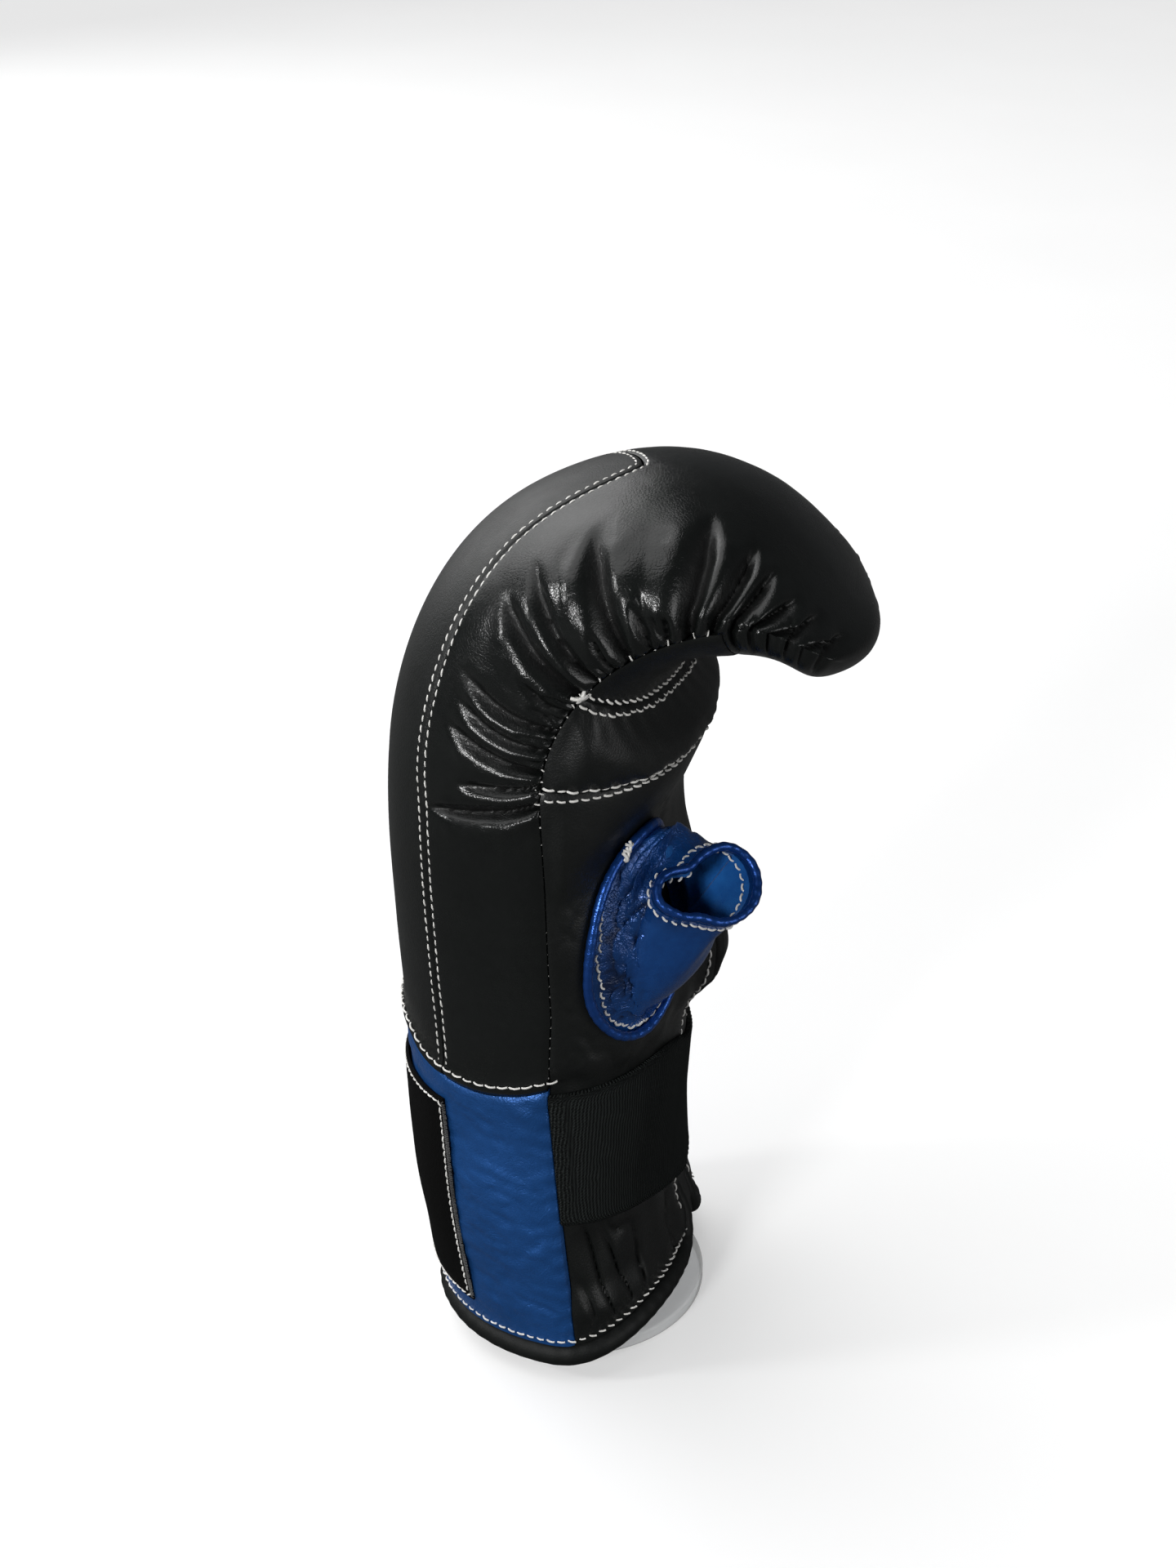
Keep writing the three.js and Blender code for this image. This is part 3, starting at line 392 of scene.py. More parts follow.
def make_mesh(name, points, faces, uv=None, where=None, sides=None, sharp=60):
    """A mesh in metres from points in millimetres, facing outwards and shaded smooth."""
    mesh = bpy.data.meshes.new(name)
    mesh.from_pydata((np.asarray(points) * MM).tolist(), [], [list(f) for f in faces])
    mesh.update()
    if uv is not None:
        layer = mesh.uv_layers.new(name="UVMap")
        flat = np.array([uv[q] for corner in where for q in corner], np.float32) * MM
        layer.data.foreach_set("uv", flat.ravel())
    if sides is not None:
        mesh.polygons.foreach_set("material_index", sides)
    mesh.calc_loop_triangles()
    triangles = np.empty(len(mesh.loop_triangles) * 3, np.int32)
    mesh.loop_triangles.foreach_get("vertices", triangles)
    corner = np.asarray(points)[triangles.reshape(-1, 3)]
    volume = np.einsum("ij,ij->", corner[:, 0], np.cross(corner[:, 1], corner[:, 2]))
    if volume < 0:
        mesh.flip_normals()
    mesh.shade_smooth()
    mesh.set_sharp_from_angle(angle=math.radians(sharp))
    return mesh


def put(name, data):
    """A new object in the scene, with a mesh, a light or a camera in it."""
    made = bpy.data.objects.new(name, data)
    bpy.context.scene.collection.objects.link(made)
    return made


def add_piece(mesh, materials, nodes=()):
    """Puts a finished mesh into the scene on the glove's one body."""
    piece = put(mesh.name, mesh)
    face_sides = np.empty(len(mesh.polygons), np.int32)
    mesh.polygons.foreach_get("material_index", face_sides)
    mesh.materials.clear()
    for material in materials:
        mesh.materials.append(material)
    mesh.polygons.foreach_set("material_index", face_sides)
    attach(piece, "root")
    if nodes:
        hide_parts(*nodes)
    count = sum(len(p.vertices) - 2 for p in mesh.polygons)
    print(f"{mesh.name}: {count} triangles")
    return piece


def add_sheet(name, patches, materials, nodes=(), sharp=60, marks=None):
    """marks holds grids by attribute name, such as how crumpled the leather is at each outer point."""
    points, faces, uv, where, sides, first = sheet_faces(patches)
    mesh = make_mesh(name, points, faces, uv, where, sides, sharp)
    for label, grids in (marks or {}).items():
        values = np.zeros(len(points), np.float32)
        values[:len(first)] = np.concatenate([g.ravel() for g in grids])[first]
        mesh.attributes.new(label, "FLOAT", "POINT").data.foreach_set("value", values)
    return add_piece(mesh, materials, nodes)


def add_panel(name, outer, inner, materials, nodes, slot, padded=None, marks=None):
    """A sheet of a single patch."""
    patches = [(outer, inner, surface_uv(outer))]
    return add_sheet(name, patches, materials, nodes, marks=marks)


def arc_lengths(points, axis):
    """Running length along one axis of a grid of points."""
    steps = np.linalg.norm(np.diff(points, axis=axis), axis=-1)
    pad = [(0, 0), (0, 0)]
    pad[axis] = (1, 0)
    return np.pad(np.cumsum(steps, axis=axis), pad)


def surface_uv(points):
    """Coordinates in millimetres: across the grid's columns, then along its rows."""
    return np.stack([arc_lengths(points, 1), arc_lengths(points, 0)], -1)


def inward(outer, inner):
    return unit(inner - outer)


def sunk(outer, inner, depth):
    """The outer points, moved towards the inner ones."""
    return outer + inward(outer, inner) * depth[..., None]


# %% [markdown]
# Leather that is sewn to its neighbour rolls down into the seam. So each panel asks how far every
# one of its points lies from the nearest seam, and sinks by a quarter circle close to it. Wrinkles
# are held flat there by the thread, and free to form further away.

# %% Distance to a seam, rolled edges and wrinkles
def distance_to(points, line):
    """Distance from each point of a grid to the nearest point of a line."""
    tree = kdtree.KDTree(len(line))
    for i, p in enumerate(line):
        tree.insert(p, i)
    tree.balance()
    flat = points.reshape(-1, 3)
    return np.array([tree.find(p)[2] for p in flat]).reshape(points.shape[:-1])


def rolled(distance, depth, width):
    """Sink of a leather edge that rolls into a seam."""
    t = np.clip(1 - distance / width, 0, 1)
    return depth * (1 - np.sqrt(1 - 0.98 * t * t))


def soft_noise(points, size, count=14, seed=1):
    """Smooth noise from -1 to 1 with features of about the given size, from a few seeded waves."""
    random = np.random.default_rng(seed)
    total = np.zeros(points.shape[:-1])
    for _ in range(count):
        direction = unit(random.normal(size=points.shape[-1]))
        length = size * random.uniform(0.7, 1.5) * 2
        total += np.sin(FULL_TURN * (points @ direction) / length + random.uniform(0, FULL_TURN))
    return total / math.sqrt(count)


def ridges(points, size, seed):
    """Sharp narrow wrinkles between soft mounds, from 0 to about 1."""
    warp = soft_noise(points, 2.5 * size, seed=seed + 50)[..., None] * size * 0.7
    return 1 - np.minimum(np.abs(soft_noise(points + warp, size, seed=seed)) * 1.6, 1)


# %% [markdown]
# The seams come before the panels: the tongue's outline, the two side seams, and the turned edge
# of black leather over the blue cuff, which dips at the sides and rises to the back of the wrist.

# %% Seam lines
WRIST_EDGE = np.array([  # turn in degrees, length from the rim
    (0, 107.0), (25, 106.3), (43, 104.0), (52.5, 100.2), (64.5, 97.9), (81, 97.0), (94, 99.0), (104, 101.2),
    (112, 102.0),
])
wrist_edge = curve_through(np.radians(WRIST_EDGE[:, 0]), WRIST_EDGE[:, 1])


def tongue_outline(samples=260):
    """Lengths and turns of the tongue's edge, from the thumb side's wrist over the tip."""
    t = np.sin(np.linspace(0, math.pi / 2, samples))
    s = mix(CUFF, TONGUE_END, t)
    turn = tongue_turn(s, outer_size(s))
    return np.concatenate([s, s[-2::-1]]), np.concatenate([-turn, turn[-2::-1]])


tongue_s, tongue_a = tongue_outline()
tongue_line = face(tongue_s, tongue_a)
seam_s = np.linspace(0, TIP_AT - 2, 330)
seam_a = seam_turn(outer_size(seam_s))
side_lines = {sign: face(seam_s, sign * seam_a) for sign in (-1, 1)}
finger_edge_a = np.linspace(seam_turn(outer_size(np.array(FINGERS_END))), math.pi, 40)
finger_edge = face(np.full(40, FINGERS_END), finger_edge_a)
finger_edge_line = np.concatenate([finger_edge, finger_edge * [1, -1, 1]])


def seam_distance(points):
    """Distance from each point of a grid to the nearer side seam."""
    return np.minimum(distance_to(points, side_lines[-1]), distance_to(points, side_lines[1]))


print("tongue outline, mm:", round(float(np.linalg.norm(np.diff(tongue_line, axis=0), axis=1).sum())))

# %% [markdown]
# The finishes share a few effects: leather grain with fine creases, an uneven tone from handling,
# and the ribs of woven tape. Each effect is a shader node group, built once with named inputs, and
# every material that needs it places it with its own values.

# %% Shader node helpers
def give(tree, made, inputs):
    """Fills a node's inputs, each with a value or with another node's output."""
    for key, value in inputs.items():
        if isinstance(value, bpy.types.NodeSocket):
            tree.links.new(value, made.inputs[key])
        else:
            made.inputs[key].default_value = value


def node(tree, kind, inputs=None, **settings):
    """A new node with its settings and inputs."""
    made = tree.nodes.new(kind)
    for key, value in settings.items():
        setattr(made, key, value)
    give(tree, made, inputs or {})
    return made


def maths(tree, operation, a, b=0.0, clamp=False):
    return node(tree, "ShaderNodeMath", {0: a, 1: b}, operation=operation, use_clamp=clamp).outputs[0]


def times(tree, a, b):
    return maths(tree, "MULTIPLY", a, b)


def plus(tree, a, b, clamp=False):
    return maths(tree, "ADD", a, b, clamp)


def noise(tree, vector, scale, detail=2.0, **more):
    """Soft noise with about scale features per metre."""
    inputs = {"Vector": vector, "Scale": scale, "Detail": detail, **more}
    return node(tree, "ShaderNodeTexNoise", inputs).outputs["Fac"]


def ranged(tree, value, low, high, to_low=0.0, to_high=1.0):
    inputs = {"Value": value, "From Min": low, "From Max": high, "To Min": to_low, "To Max": to_high}
    return node(tree, "ShaderNodeMapRange", inputs).outputs["Result"]


def add_socket(tree, name, kind, value=None, way="INPUT"):
    socket = tree.interface.new_socket(name=name, in_out=way, socket_type="NodeSocket" + kind)
    if value is not None:
        socket.default_value = value


def shader_group(name, inputs, outputs):
    """An empty group that takes a vector and numbers: its tree, its input and its output node."""
    tree = bpy.data.node_groups.new(name, "ShaderNodeTree")
    add_socket(tree, "Vector", "Vector")
    for label, value in inputs.items():
        add_socket(tree, label, "Float", value)
    for label in outputs:
        add_socket(tree, label, "Float", way="OUTPUT")
    return tree, tree.nodes.new("NodeGroupInput"), tree.nodes.new("NodeGroupOutput")


# %% Effect: leather grain
def make_leather_grain():
    """Pebbles, pores and fine creases. Scales are features per metre."""
    tree, given, result = shader_group(
        "Leather grain", {"Pebbles": 900.0, "Creases": 160.0, "Crease depth": 0.5}, ["Height"])
    vector = given.outputs["Vector"]
    cells = node(tree, "ShaderNodeTexVoronoi", {"Vector": vector, "Scale": given.outputs["Pebbles"]},
                 feature="DISTANCE_TO_EDGE")
    pebbles = ranged(tree, cells.outputs["Distance"], 0.0, 0.2)
    pores = noise(tree, vector, 2600.0)
    folds = noise(tree, vector, given.outputs["Creases"], 3.0, Roughness=0.55, Distortion=1.4)
    away = maths(tree, "ABSOLUTE", maths(tree, "SUBTRACT", folds, 0.5))
    crease = ranged(tree, away, 0.0, 0.09, 1.0, 0.0)
    height = plus(tree, times(tree, pebbles, 0.35), times(tree, pores, 0.25))
    height = maths(tree, "SUBTRACT", height, times(tree, crease, given.outputs["Crease depth"]))
    tree.links.new(height, result.inputs["Height"])
    return tree


# %% Effect: uneven tone
def make_uneven_tone():
    """Large soft patches and fine mottling, between Low and High."""
    tree, given, result = shader_group(
        "Uneven tone", {"Patches": 22.0, "Low": 0.0, "High": 1.0}, ["Value"])
    vector = given.outputs["Vector"]
    patches = noise(tree, vector, given.outputs["Patches"], 4.0)
    mottle = noise(tree, vector, 420.0)
    both = plus(tree, times(tree, patches, 0.75), times(tree, mottle, 0.25))
    spread = ranged(tree, both, 0.32, 0.68)
    value = node(tree, "ShaderNodeMix", {0: spread, 2: given.outputs["Low"], 3: given.outputs["High"]})
    tree.links.new(value.outputs[0], result.inputs["Value"])
    return tree


# %% Effect: woven ribs
def make_woven_ribs():
    """Ribs along one direction of the cloth, crossed by finer threads that lean a little."""
    tree, given, result = shader_group(
        "Woven ribs", {"Ribs": 900.0, "Threads": 1500.0, "Lean": 0.6}, ["Height", "Shade"])
    vector = given.outputs["Vector"]
    place = node(tree, "ShaderNodeSeparateXYZ", {"Vector": vector})
    u = place.outputs["X"]
    v = place.outputs["Y"]
    wobble = times(tree, noise(tree, vector, 160.0), 0.0016)
    ribs = times(tree, given.outputs["Ribs"], FULL_TURN)
    rib = maths(tree, "SINE", times(tree, plus(tree, u, wobble), ribs))
    leaning = plus(tree, v, times(tree, u, given.outputs["Lean"]))
    threads = times(tree, given.outputs["Threads"], FULL_TURN)
    thread = maths(tree, "SINE", times(tree, leaning, threads))
    height = plus(tree, rib, times(tree, thread, 0.5))
    tree.links.new(height, result.inputs["Height"])
    # Shade is painted shade: the colour is darker down between the ribs and threads, and lighter on their
    # tops.
    tree.links.new(ranged(tree, height, -1.5, 1.5), result.inputs["Shade"])
    return tree


LEATHER_GRAIN = make_leather_grain()
UNEVEN_TONE = make_uneven_tone()
WOVEN_RIBS = make_woven_ribs()


# %% Placing an effect in a material
def effect(tree, group, inputs):
    made = tree.nodes.new("ShaderNodeGroup")
    made.node_tree = group
    give(tree, made, inputs)
    return made


def new_material(name):
    """A material with its tree, its Principled shader and its coordinates node."""
    material = bpy.data.materials.new(name)
    material.use_nodes = True
    tree = material.node_tree
    shader = tree.nodes["Principled BSDF"]
    return material, tree, shader, tree.nodes.new("ShaderNodeTexCoord")


def two_tones(tree, factor, dark, light):
    """A colour between dark and light."""
    made = node(tree, "ShaderNodeMix", {0: factor}, data_type="RGBA")
    made.inputs[6].default_value = (*dark, 1)
    made.inputs[7].default_value = (*light, 1)
    return made.outputs[2]


def bump(tree, shader, height, distance, strength=1.0):
    made = node(tree, "ShaderNodeBump", {"Height": height, "Strength": strength, "Distance": distance})
    for socket in ("Normal", "Coat Normal"):
        tree.links.new(made.outputs["Normal"], shader.inputs[socket])


# %% [markdown]
# Black cowhide is nearly all reflection: a very dark colour and a soft gloss, and on the gathers a
# thin clear coat that catches the lights. The blue leather has a metallic foil under its finish, so
# it is partly metal, and the thumb's is more crinkled and shinier than the cuff's.

# %% Leather finishes
def leather(name, dark, light, rough=(0.34, 0.46), metal=0.0, coat=0.0, coat_rough=0.2, specular=0.34,
            pebbles=1000.0, creases=150.0, crease_depth=0.5, relief=0.00008, crumpled=False, dull=0.45):
    """Leather. If it is crumpled, point attributes say where it is creased, and where its folds get painted
    shade, a darker colour, and a duller gloss.
    """
    material, tree, shader, place = new_material(name)
    vector = place.outputs["Object"]
    grain = effect(tree, LEATHER_GRAIN, {
        "Vector": vector, "Pebbles": pebbles, "Creases": creases, "Crease depth": crease_depth,
    })
    if crumpled:
        mark = node(tree, "ShaderNodeAttribute", attribute_name="crumple")
        depth = times(tree, mark.outputs["Fac"], crease_depth)
        tree.links.new(depth, grain.inputs["Crease depth"])
    tone = effect(tree, UNEVEN_TONE, {"Vector": vector, "Patches": 26.0}).outputs["Value"]
    shine = effect(tree, UNEVEN_TONE, {
        "Vector": vector, "Patches": 60.0, "Low": rough[0], "High": rough[1],
    })
    colour = two_tones(tree, tone, dark, light)
    roughness = shine.outputs["Value"]
    if crumpled:
        # Painted shade: where the fold mark is high, the colour is darkened towards a quarter of its dark
        # tone, and the gloss is dulled.
        fold = node(tree, "ShaderNodeAttribute", attribute_name="fold")
        fold_shade = node(tree, "ShaderNodeMix", {0: fold.outputs["Fac"], 6: colour}, data_type="RGBA")
        fold_shade.inputs[7].default_value = (0.25 * dark[0], 0.25 * dark[1], 0.25 * dark[2], 1)
        colour = fold_shade.outputs[2]
        duller = times(tree, fold.outputs["Fac"], dull)
        roughness = plus(tree, roughness, duller, clamp=True)
    give(tree, shader, {
        "Base Color": colour, "Roughness": roughness, "Metallic": metal,
        "Specular IOR Level": specular, "Coat Weight": coat, "Coat Roughness": coat_rough,
    })
    bump(tree, shader, grain.outputs["Height"], relief)
    return material


BLACK_DARK = (0.0028, 0.0035, 0.0033)
BLACK_LIGHT = (0.0055, 0.0066, 0.0062)
BLACK_LEATHER = leather("black_cowhide", BLACK_DARK, BLACK_LIGHT, rough=(0.38, 0.5), creases=120.0,
                        crease_depth=0.2)
GATHERED_LEATHER = leather("gathered_cowhide", BLACK_DARK, BLACK_LIGHT, rough=(0.2, 0.3), creases=300.0,
                           crease_depth=0.9, relief=0.00006, coat=0.1, coat_rough=0.12, crumpled=True)
ROLLED_LEATHER = leather("rolled_edge_leather", BLACK_DARK, BLACK_LIGHT, rough=(0.52, 0.62), specular=0.25,
                         creases=90.0, crease_depth=0.15)
CUFF_LEATHER = leather("blue_cuff_leather", (0.010, 0.066, 0.23), (0.015, 0.092, 0.32), rough=(0.34, 0.46),
                       metal=0.5, coat=0.06, coat_rough=0.35, creases=140.0, crease_depth=0.6)
THUMB_BLUE = leather("blue_thumb_leather", (0.007, 0.052, 0.22), (0.013, 0.1, 0.38), rough=(0.18, 0.3),
                     metal=0.5, coat=0.35, coat_rough=0.15, creases=240.0, crease_depth=1.2, relief=0.00008,
                     crumpled=True, dull=0.2)
THUMB_EDGE = leather("blue_edge_leather", (0.006, 0.045, 0.22), (0.012, 0.075, 0.33), rough=(0.26, 0.38),
                     metal=0.7, coat=0.2, coat_rough=0.2, creases=90.0, crease_depth=0.2)


# %% Suede, lining, thread and woven tape
def fuzzy(name, dark, light, relief, scale):
    """A napped or plainly woven surface with no gloss."""
    material, tree, shader, place = new_material(name)
    vector = place.outputs["Object"]
    tone = effect(tree, UNEVEN_TONE, {"Vector": vector, "Patches": 90.0}).outputs["Value"]
    nap = noise(tree, vector, scale, 4.0)
    give(tree, shader, {
        "Base Color": two_tones(tree, tone, dark, light), "Roughness": 1.0,
        "Sheen Weight": 0.08, "Specular IOR Level": 0.05,
    })
    bump(tree, shader, nap, relief)
    return material


def woven(name, dark, light, ribs, threads, lean, relief):
    """Woven tape: its ribs follow the piece's own UV map, which is in metres, and their grooves get painted
    shade.
    """
    material, tree, shader, place = new_material(name)
    weave = effect(tree, WOVEN_RIBS, {
        "Vector": place.outputs["UV"], "Ribs": ribs, "Threads": threads, "Lean": lean,
    })
    give(tree, shader, {
        "Base Color": two_tones(tree, weave.outputs["Shade"], dark, light), "Roughness": 0.85,
        "Specular IOR Level": 0.08,
    })
    bump(tree, shader, weave.outputs["Height"], relief)
    return material


SUEDE = fuzzy("blue_suede", (0.007, 0.06, 0.23), (0.014, 0.11, 0.36), 0.0003, 1500.0)
LINING = fuzzy("dark_lining", (0.006, 0.006, 0.0065), (0.012, 0.012, 0.013), 0.0002, 1200.0)
GREY_THREAD = fuzzy("grey_thread", (0.05, 0.05, 0.05), (0.12, 0.12, 0.12), 0.0002, 3000.0)
THREAD = fuzzy("white_thread", (0.62, 0.61, 0.58), (0.86, 0.85, 0.82), 0.0002, 3000.0)
ELASTIC_TAPE = woven("black_elastic", (0.0022, 0.0026, 0.0025), (0.034, 0.039, 0.038),
                     ribs=850.0, threads=900.0, lean=1.0, relief=0.0004)
LABEL_CLOTH = woven("black_label_cloth", (0.0008, 0.0008, 0.0008), (0.0022, 0.0022, 0.0022),
                    ribs=1600.0, threads=1600.0, lean=0.0, relief=0.00012)


# %% [markdown]
# Clear acrylic lets most light straight through. It is more than half see-through here, so that its
# shadow on the table stays pale, and an uneven roughness gives its gloss a trace of fine scratches.

# %% Clear acrylic
def make_acrylic():
    material, tree, shader, place = new_material("clear_acrylic")
    rub = effect(tree, UNEVEN_TONE, {
        "Vector": place.outputs["Object"], "Patches": 55.0, "Low": 0.05, "High": 0.16,
    })
    give(tree, shader, {
        "Roughness": rub.outputs["Value"], "Base Color": (0.76, 0.78, 0.77, 1), "IOR": 1.49,
        "Alpha": 0.42,
    })
    return material


ACRYLIC = make_acrylic()

# %% [markdown]
# The back panel is a padded tongue: it covers the back of the hand from the wrist and narrows over
# the knuckles. Its lower edge is turned under and lies proud of the blue cuff. The grid's rows run
# level at the knuckles and bend to that turned edge at the wrist.

# %% Rows that end on the turned edge at the wrist
HEM_LIFT = 1.3  # how far the turned edge lies proud of the cuff
HEM_WIDTH = 7.0
HEM_LAP = 1.3  # how far it laps over the cuff


def lowered(s, turn):
    """Lengths s with the lowest row moved on to the turned edge."""
    lowest = wrist_edge(np.abs(turn)) - HEM_LAP
    return s + (lowest - CUFF) * fade(s, CUFF, CUFF + 34)


def hem(s, turn):
    """How far black leather stands out over the cuff at its turned edge."""
    up = s - (wrist_edge(np.abs(turn)) - HEM_LAP)
    return HEM_LIFT * fade(up, 0.5, HEM_WIDTH) - rolled(up, 1.7, 1.5)


# %% The back panel
def back_grid(rows, columns):
    """Outer and inner points of the tongue: columns run from -1 to 1 across it."""
    s = np.broadcast_to(rows[:, None], (len(rows), len(columns)))
    end = TONGUE_END - GAP / 2
    turn = columns * tongue_turn(s, outer_size(s), end, -GAP / 2)
    s = lowered(s, turn)
    outer = section_point(s, outer_size(s), turn)
    hollow = hollow_size(s, PALM_LEATHER)
    inner = section_point(s, hollow, columns * tongue_turn(s, hollow, end, -GAP / 2))
    sink = rolled(distance_to(outer, tongue_line), 0.8, 2.2) - hem(s, turn)
    free = smooth(distance_to(outer, tongue_line), 2, 16) * smooth(s, 100, 112)
    sink = sink - 0.3 * free * soft_noise(outer, 34, seed=3)
    return sunk(outer, inner, sink), inner


back_rows = mix(CUFF, TONGUE_END - GAP / 2, np.sin(np.linspace(0, math.pi / 2, 170)))
back_outer, back_inner = back_grid(back_rows, np.linspace(-1, 1, 101))
add_panel("back_leather", back_outer, back_inner, [BLACK_LEATHER, LINING], ["back_panel"],
          "black_leather", padded=0.9)

# %% [markdown]
# The side panel is longer than the palm that it is sewn to, so it is gathered into the side seam.
# Each fold starts somewhere on the side, runs down to the seam and is deepest near it, with a
# rounded mound on either side. A table holds the large folds, seeded draws add small pleats between
# them, and one function adds them all up.

# %% Folds of the side panel
# Columns: length and turn (degrees) of the upper end, length at the seam, depth, width, bow, in mm.
FOLDS = np.array([
    (191.5, 66, 197.6, 2.3, 2.4, -1.5),
    (200.6, 78, 203.6, 1.5, 1.7, -1.0),
    (212.0, 67, 208.2, 1.9, 1.9, -1.6),
    (217.3, 66, 215.0, 1.5, 1.8, -2.0),
    (222.0, 64, 221.8, 2.1, 2.0, -2.0),
    (229.5, 82, 228.6, 1.2, 1.5, -1.2),
    (237.0, 56, 234.9, 2.6, 2.3, -1.2),
    (243.8, 50, 241.0, 2.0, 2.0, -0.8),
    (249.5, 84, 246.8, 1.2, 1.5, -0.4),
    (254.4, 42, 251.6, 3.3, 2.8, 0.4),
    (259.5, 78, 258.2, 1.3, 1.6, 0.5),
    (265.0, 86, 262.9, 1.1, 1.4, 0.4),
    (272.5, 30, 268.0, 3.1, 2.5, 1.4),
    (281.0, 33, 274.0, 2.3, 2.0, 1.4),
    (286.0, 38, 279.3, 1.9, 1.8, 1.2),
    (293.0, 40, 284.3, 1.9, 1.8, 1.4),
    (296.5, 62, 289.4, 1.5, 1.7, 1.0),
    (300.0, 10, 294.8, 1.8, 2.0, 0.8),
    (304.5, 55, 299.2, 1.2, 1.6, 0.6),
    (308.0, 5, 304.5, 1.6, 2.0, 0.4),
])


FAR_SIDE_START = 0.78  # the far side's folds start no higher than this share
DEEPEST = 4.9
HIGHEST = 2.6


def fold_shares():
    """Share of the way from the tongue to the side seam at which each fold starts."""
    size = outer_size(FOLDS[:, 0])
    edge = tongue_turn(FOLDS[:, 0], size)
    return np.clip((np.radians(FOLDS[:, 1]) - edge) / (seam_turn(size) - edge), 0, 0.95)


def small_folds():
    """Seeded small pleats between the table's folds, in the same columns."""
    random = np.random.default_rng(9)
    foot = np.arange(195.0, 303.0, 3.1)
    count = len(foot)
    foot = foot + random.uniform(-0.9, 0.9, count)
    top = foot + random.uniform(-2.5, 2.5, count)
    start = random.uniform(0.5, 0.86, count)
    depth = random.uniform(0.35, 0.8, count)
    width = random.uniform(0.8, 1.3, count)
    bow = random.uniform(-1, 1, count)
    return np.stack([top, start, foot, depth, width, bow], -1)


def folds_at(s, share, side):
    """Height of the gathered leather over its plain form, negative in the folds."""
    random = np.random.default_rng(7 if side < 0 else 8)
    table = FOLDS.copy()
    table[:, 1] = fold_shares()
    table = np.concatenate([table, small_folds()])
    valleys = np.zeros(np.broadcast(s, share).shape)
    swell = np.zeros_like(valleys)
    for top, start, foot, depth, width, bow in table:
        stray = random.normal(0, 1.0) if side > 0 else 0.0
        start = max(start, FAR_SIDE_START) if side > 0 else start
        run = (share - start) / (1 - start)
        along = np.sin(math.pi * np.clip(run, 0, 1))
        line = mix(foot, top, 1 - run) + bow * along + stray
        across = (s - line) / (width * (0.55 + 0.5 * along))
        lean = np.where(across > 0, 1.0, 1.3)
        here = 2.0 * depth * (1 + 0.3 * smooth(foot, 255, 270)) * smooth(run, -0.06, 0.3)
        here = here * (1 - 0.4 * smooth(share, 0.96, 1))
        valleys += (here * np.exp(-(np.abs(across * lean) ** 1.2))) ** 4
        swell = np.maximum(swell, here * hump(across, 0, 2.7))
    height = 0.5 * swell - 1.45 * valleys**0.25
    calm = 1 - smooth(s, 282, 294) * fade(share, 0.4, 0.75)
    height = height * calm * (0.75 if side > 0 else 1.0)
    limit = np.where(height < 0, DEEPEST, HIGHEST)
    return limit * np.tanh(height / limit)


# %% The side panel
below_fingers = seam_s < FINGERS_END
gusset_seams = np.concatenate([
    tongue_line, side_lines[-1][below_fingers], side_lines[1][below_fingers], finger_edge_line,
])


def hollow_place(s):
    """Length at which the hollow's wall lies behind a length s of the outer face."""
    t = np.maximum((s - FINGERS_END) / (TIP_AT - FINGERS_END), 0)
    return np.where(t > 0, mix(FINGERS_END, POCKET_END, t), s)


def gathered(s, turn_of, height):
    """Outer and inner points of the side panel, with its folds, rolled edges and turned edge, how crumpled
    it is, and a mark of painted shade and dulling for the folds' valleys.
    """
    behind = hollow_place(s)
    size = outer_size(s)
    hollow = hollow_size(behind, palm_wall_at(behind))
    turn = turn_of(size)
    outer = section_point(s, size, turn)
    inner = section_point(behind, hollow, turn_of(hollow))
    near = distance_to(outer, gusset_seams)
    wrinkle = 0.14 * soft_noise(outer * [1, 0.6, 1], 3.0, seed=5) * smooth(near, 1.5, 7)
    wrinkle = wrinkle * np.clip(np.abs(height), 0.15, 1)
    sink = rolled(near, 1.0, 2.4) - hem(s, turn) - height * fade(s, TIP_AT - 6, TIP_AT) - wrinkle
    way = inward(outer, inner)
    way[s > TIP_AT - 0.01] = 0
    crumple = np.clip(np.abs(height) / 2.4, 0, 1) * smooth(near, 0.5, 4)
    # The last value is painted shade and dulling: the deeper a point lies in a fold's valley, the darker
    # its colour and the duller its gloss.
    return outer + way * sink[..., None], inner, crumple, np.clip(-height / 3.5, 0, 1)


def gusset_grid(rows, shares, side):
    s, share = lattice(rows, shares)
    end = TONGUE_END + GAP / 2

    def turn_of(size, at):
        return side * mix(tongue_turn(at, size, end, GAP / 2), seam_turn(size, GAP / 2), share)

    s = lowered(s, turn_of(outer_size(s), s))
    return gathered(s, lambda size: turn_of(size, s), folds_at(s, share, side))


def tip_grid(rows, shares):
    """The underside of the fingertips, where the panel wraps round past the fingers."""
    s, share = lattice(rows, shares)
    edge = np.minimum(share, 1 - share)
    folds = np.where(share < 0.5, folds_at(s, 1.0, 1), folds_at(s, 1.0, -1))

    def turn_of(size):
        seam = seam_turn(size, GAP / 2)
        far_half = mix(seam, FULL_TURN - seam, share)
        near_half = mix(seam - FULL_TURN, -seam, share)
        return np.where(share < 0.5, far_half, near_half)

    return gathered(s, turn_of, folds * fade(edge, 0, 0.22))


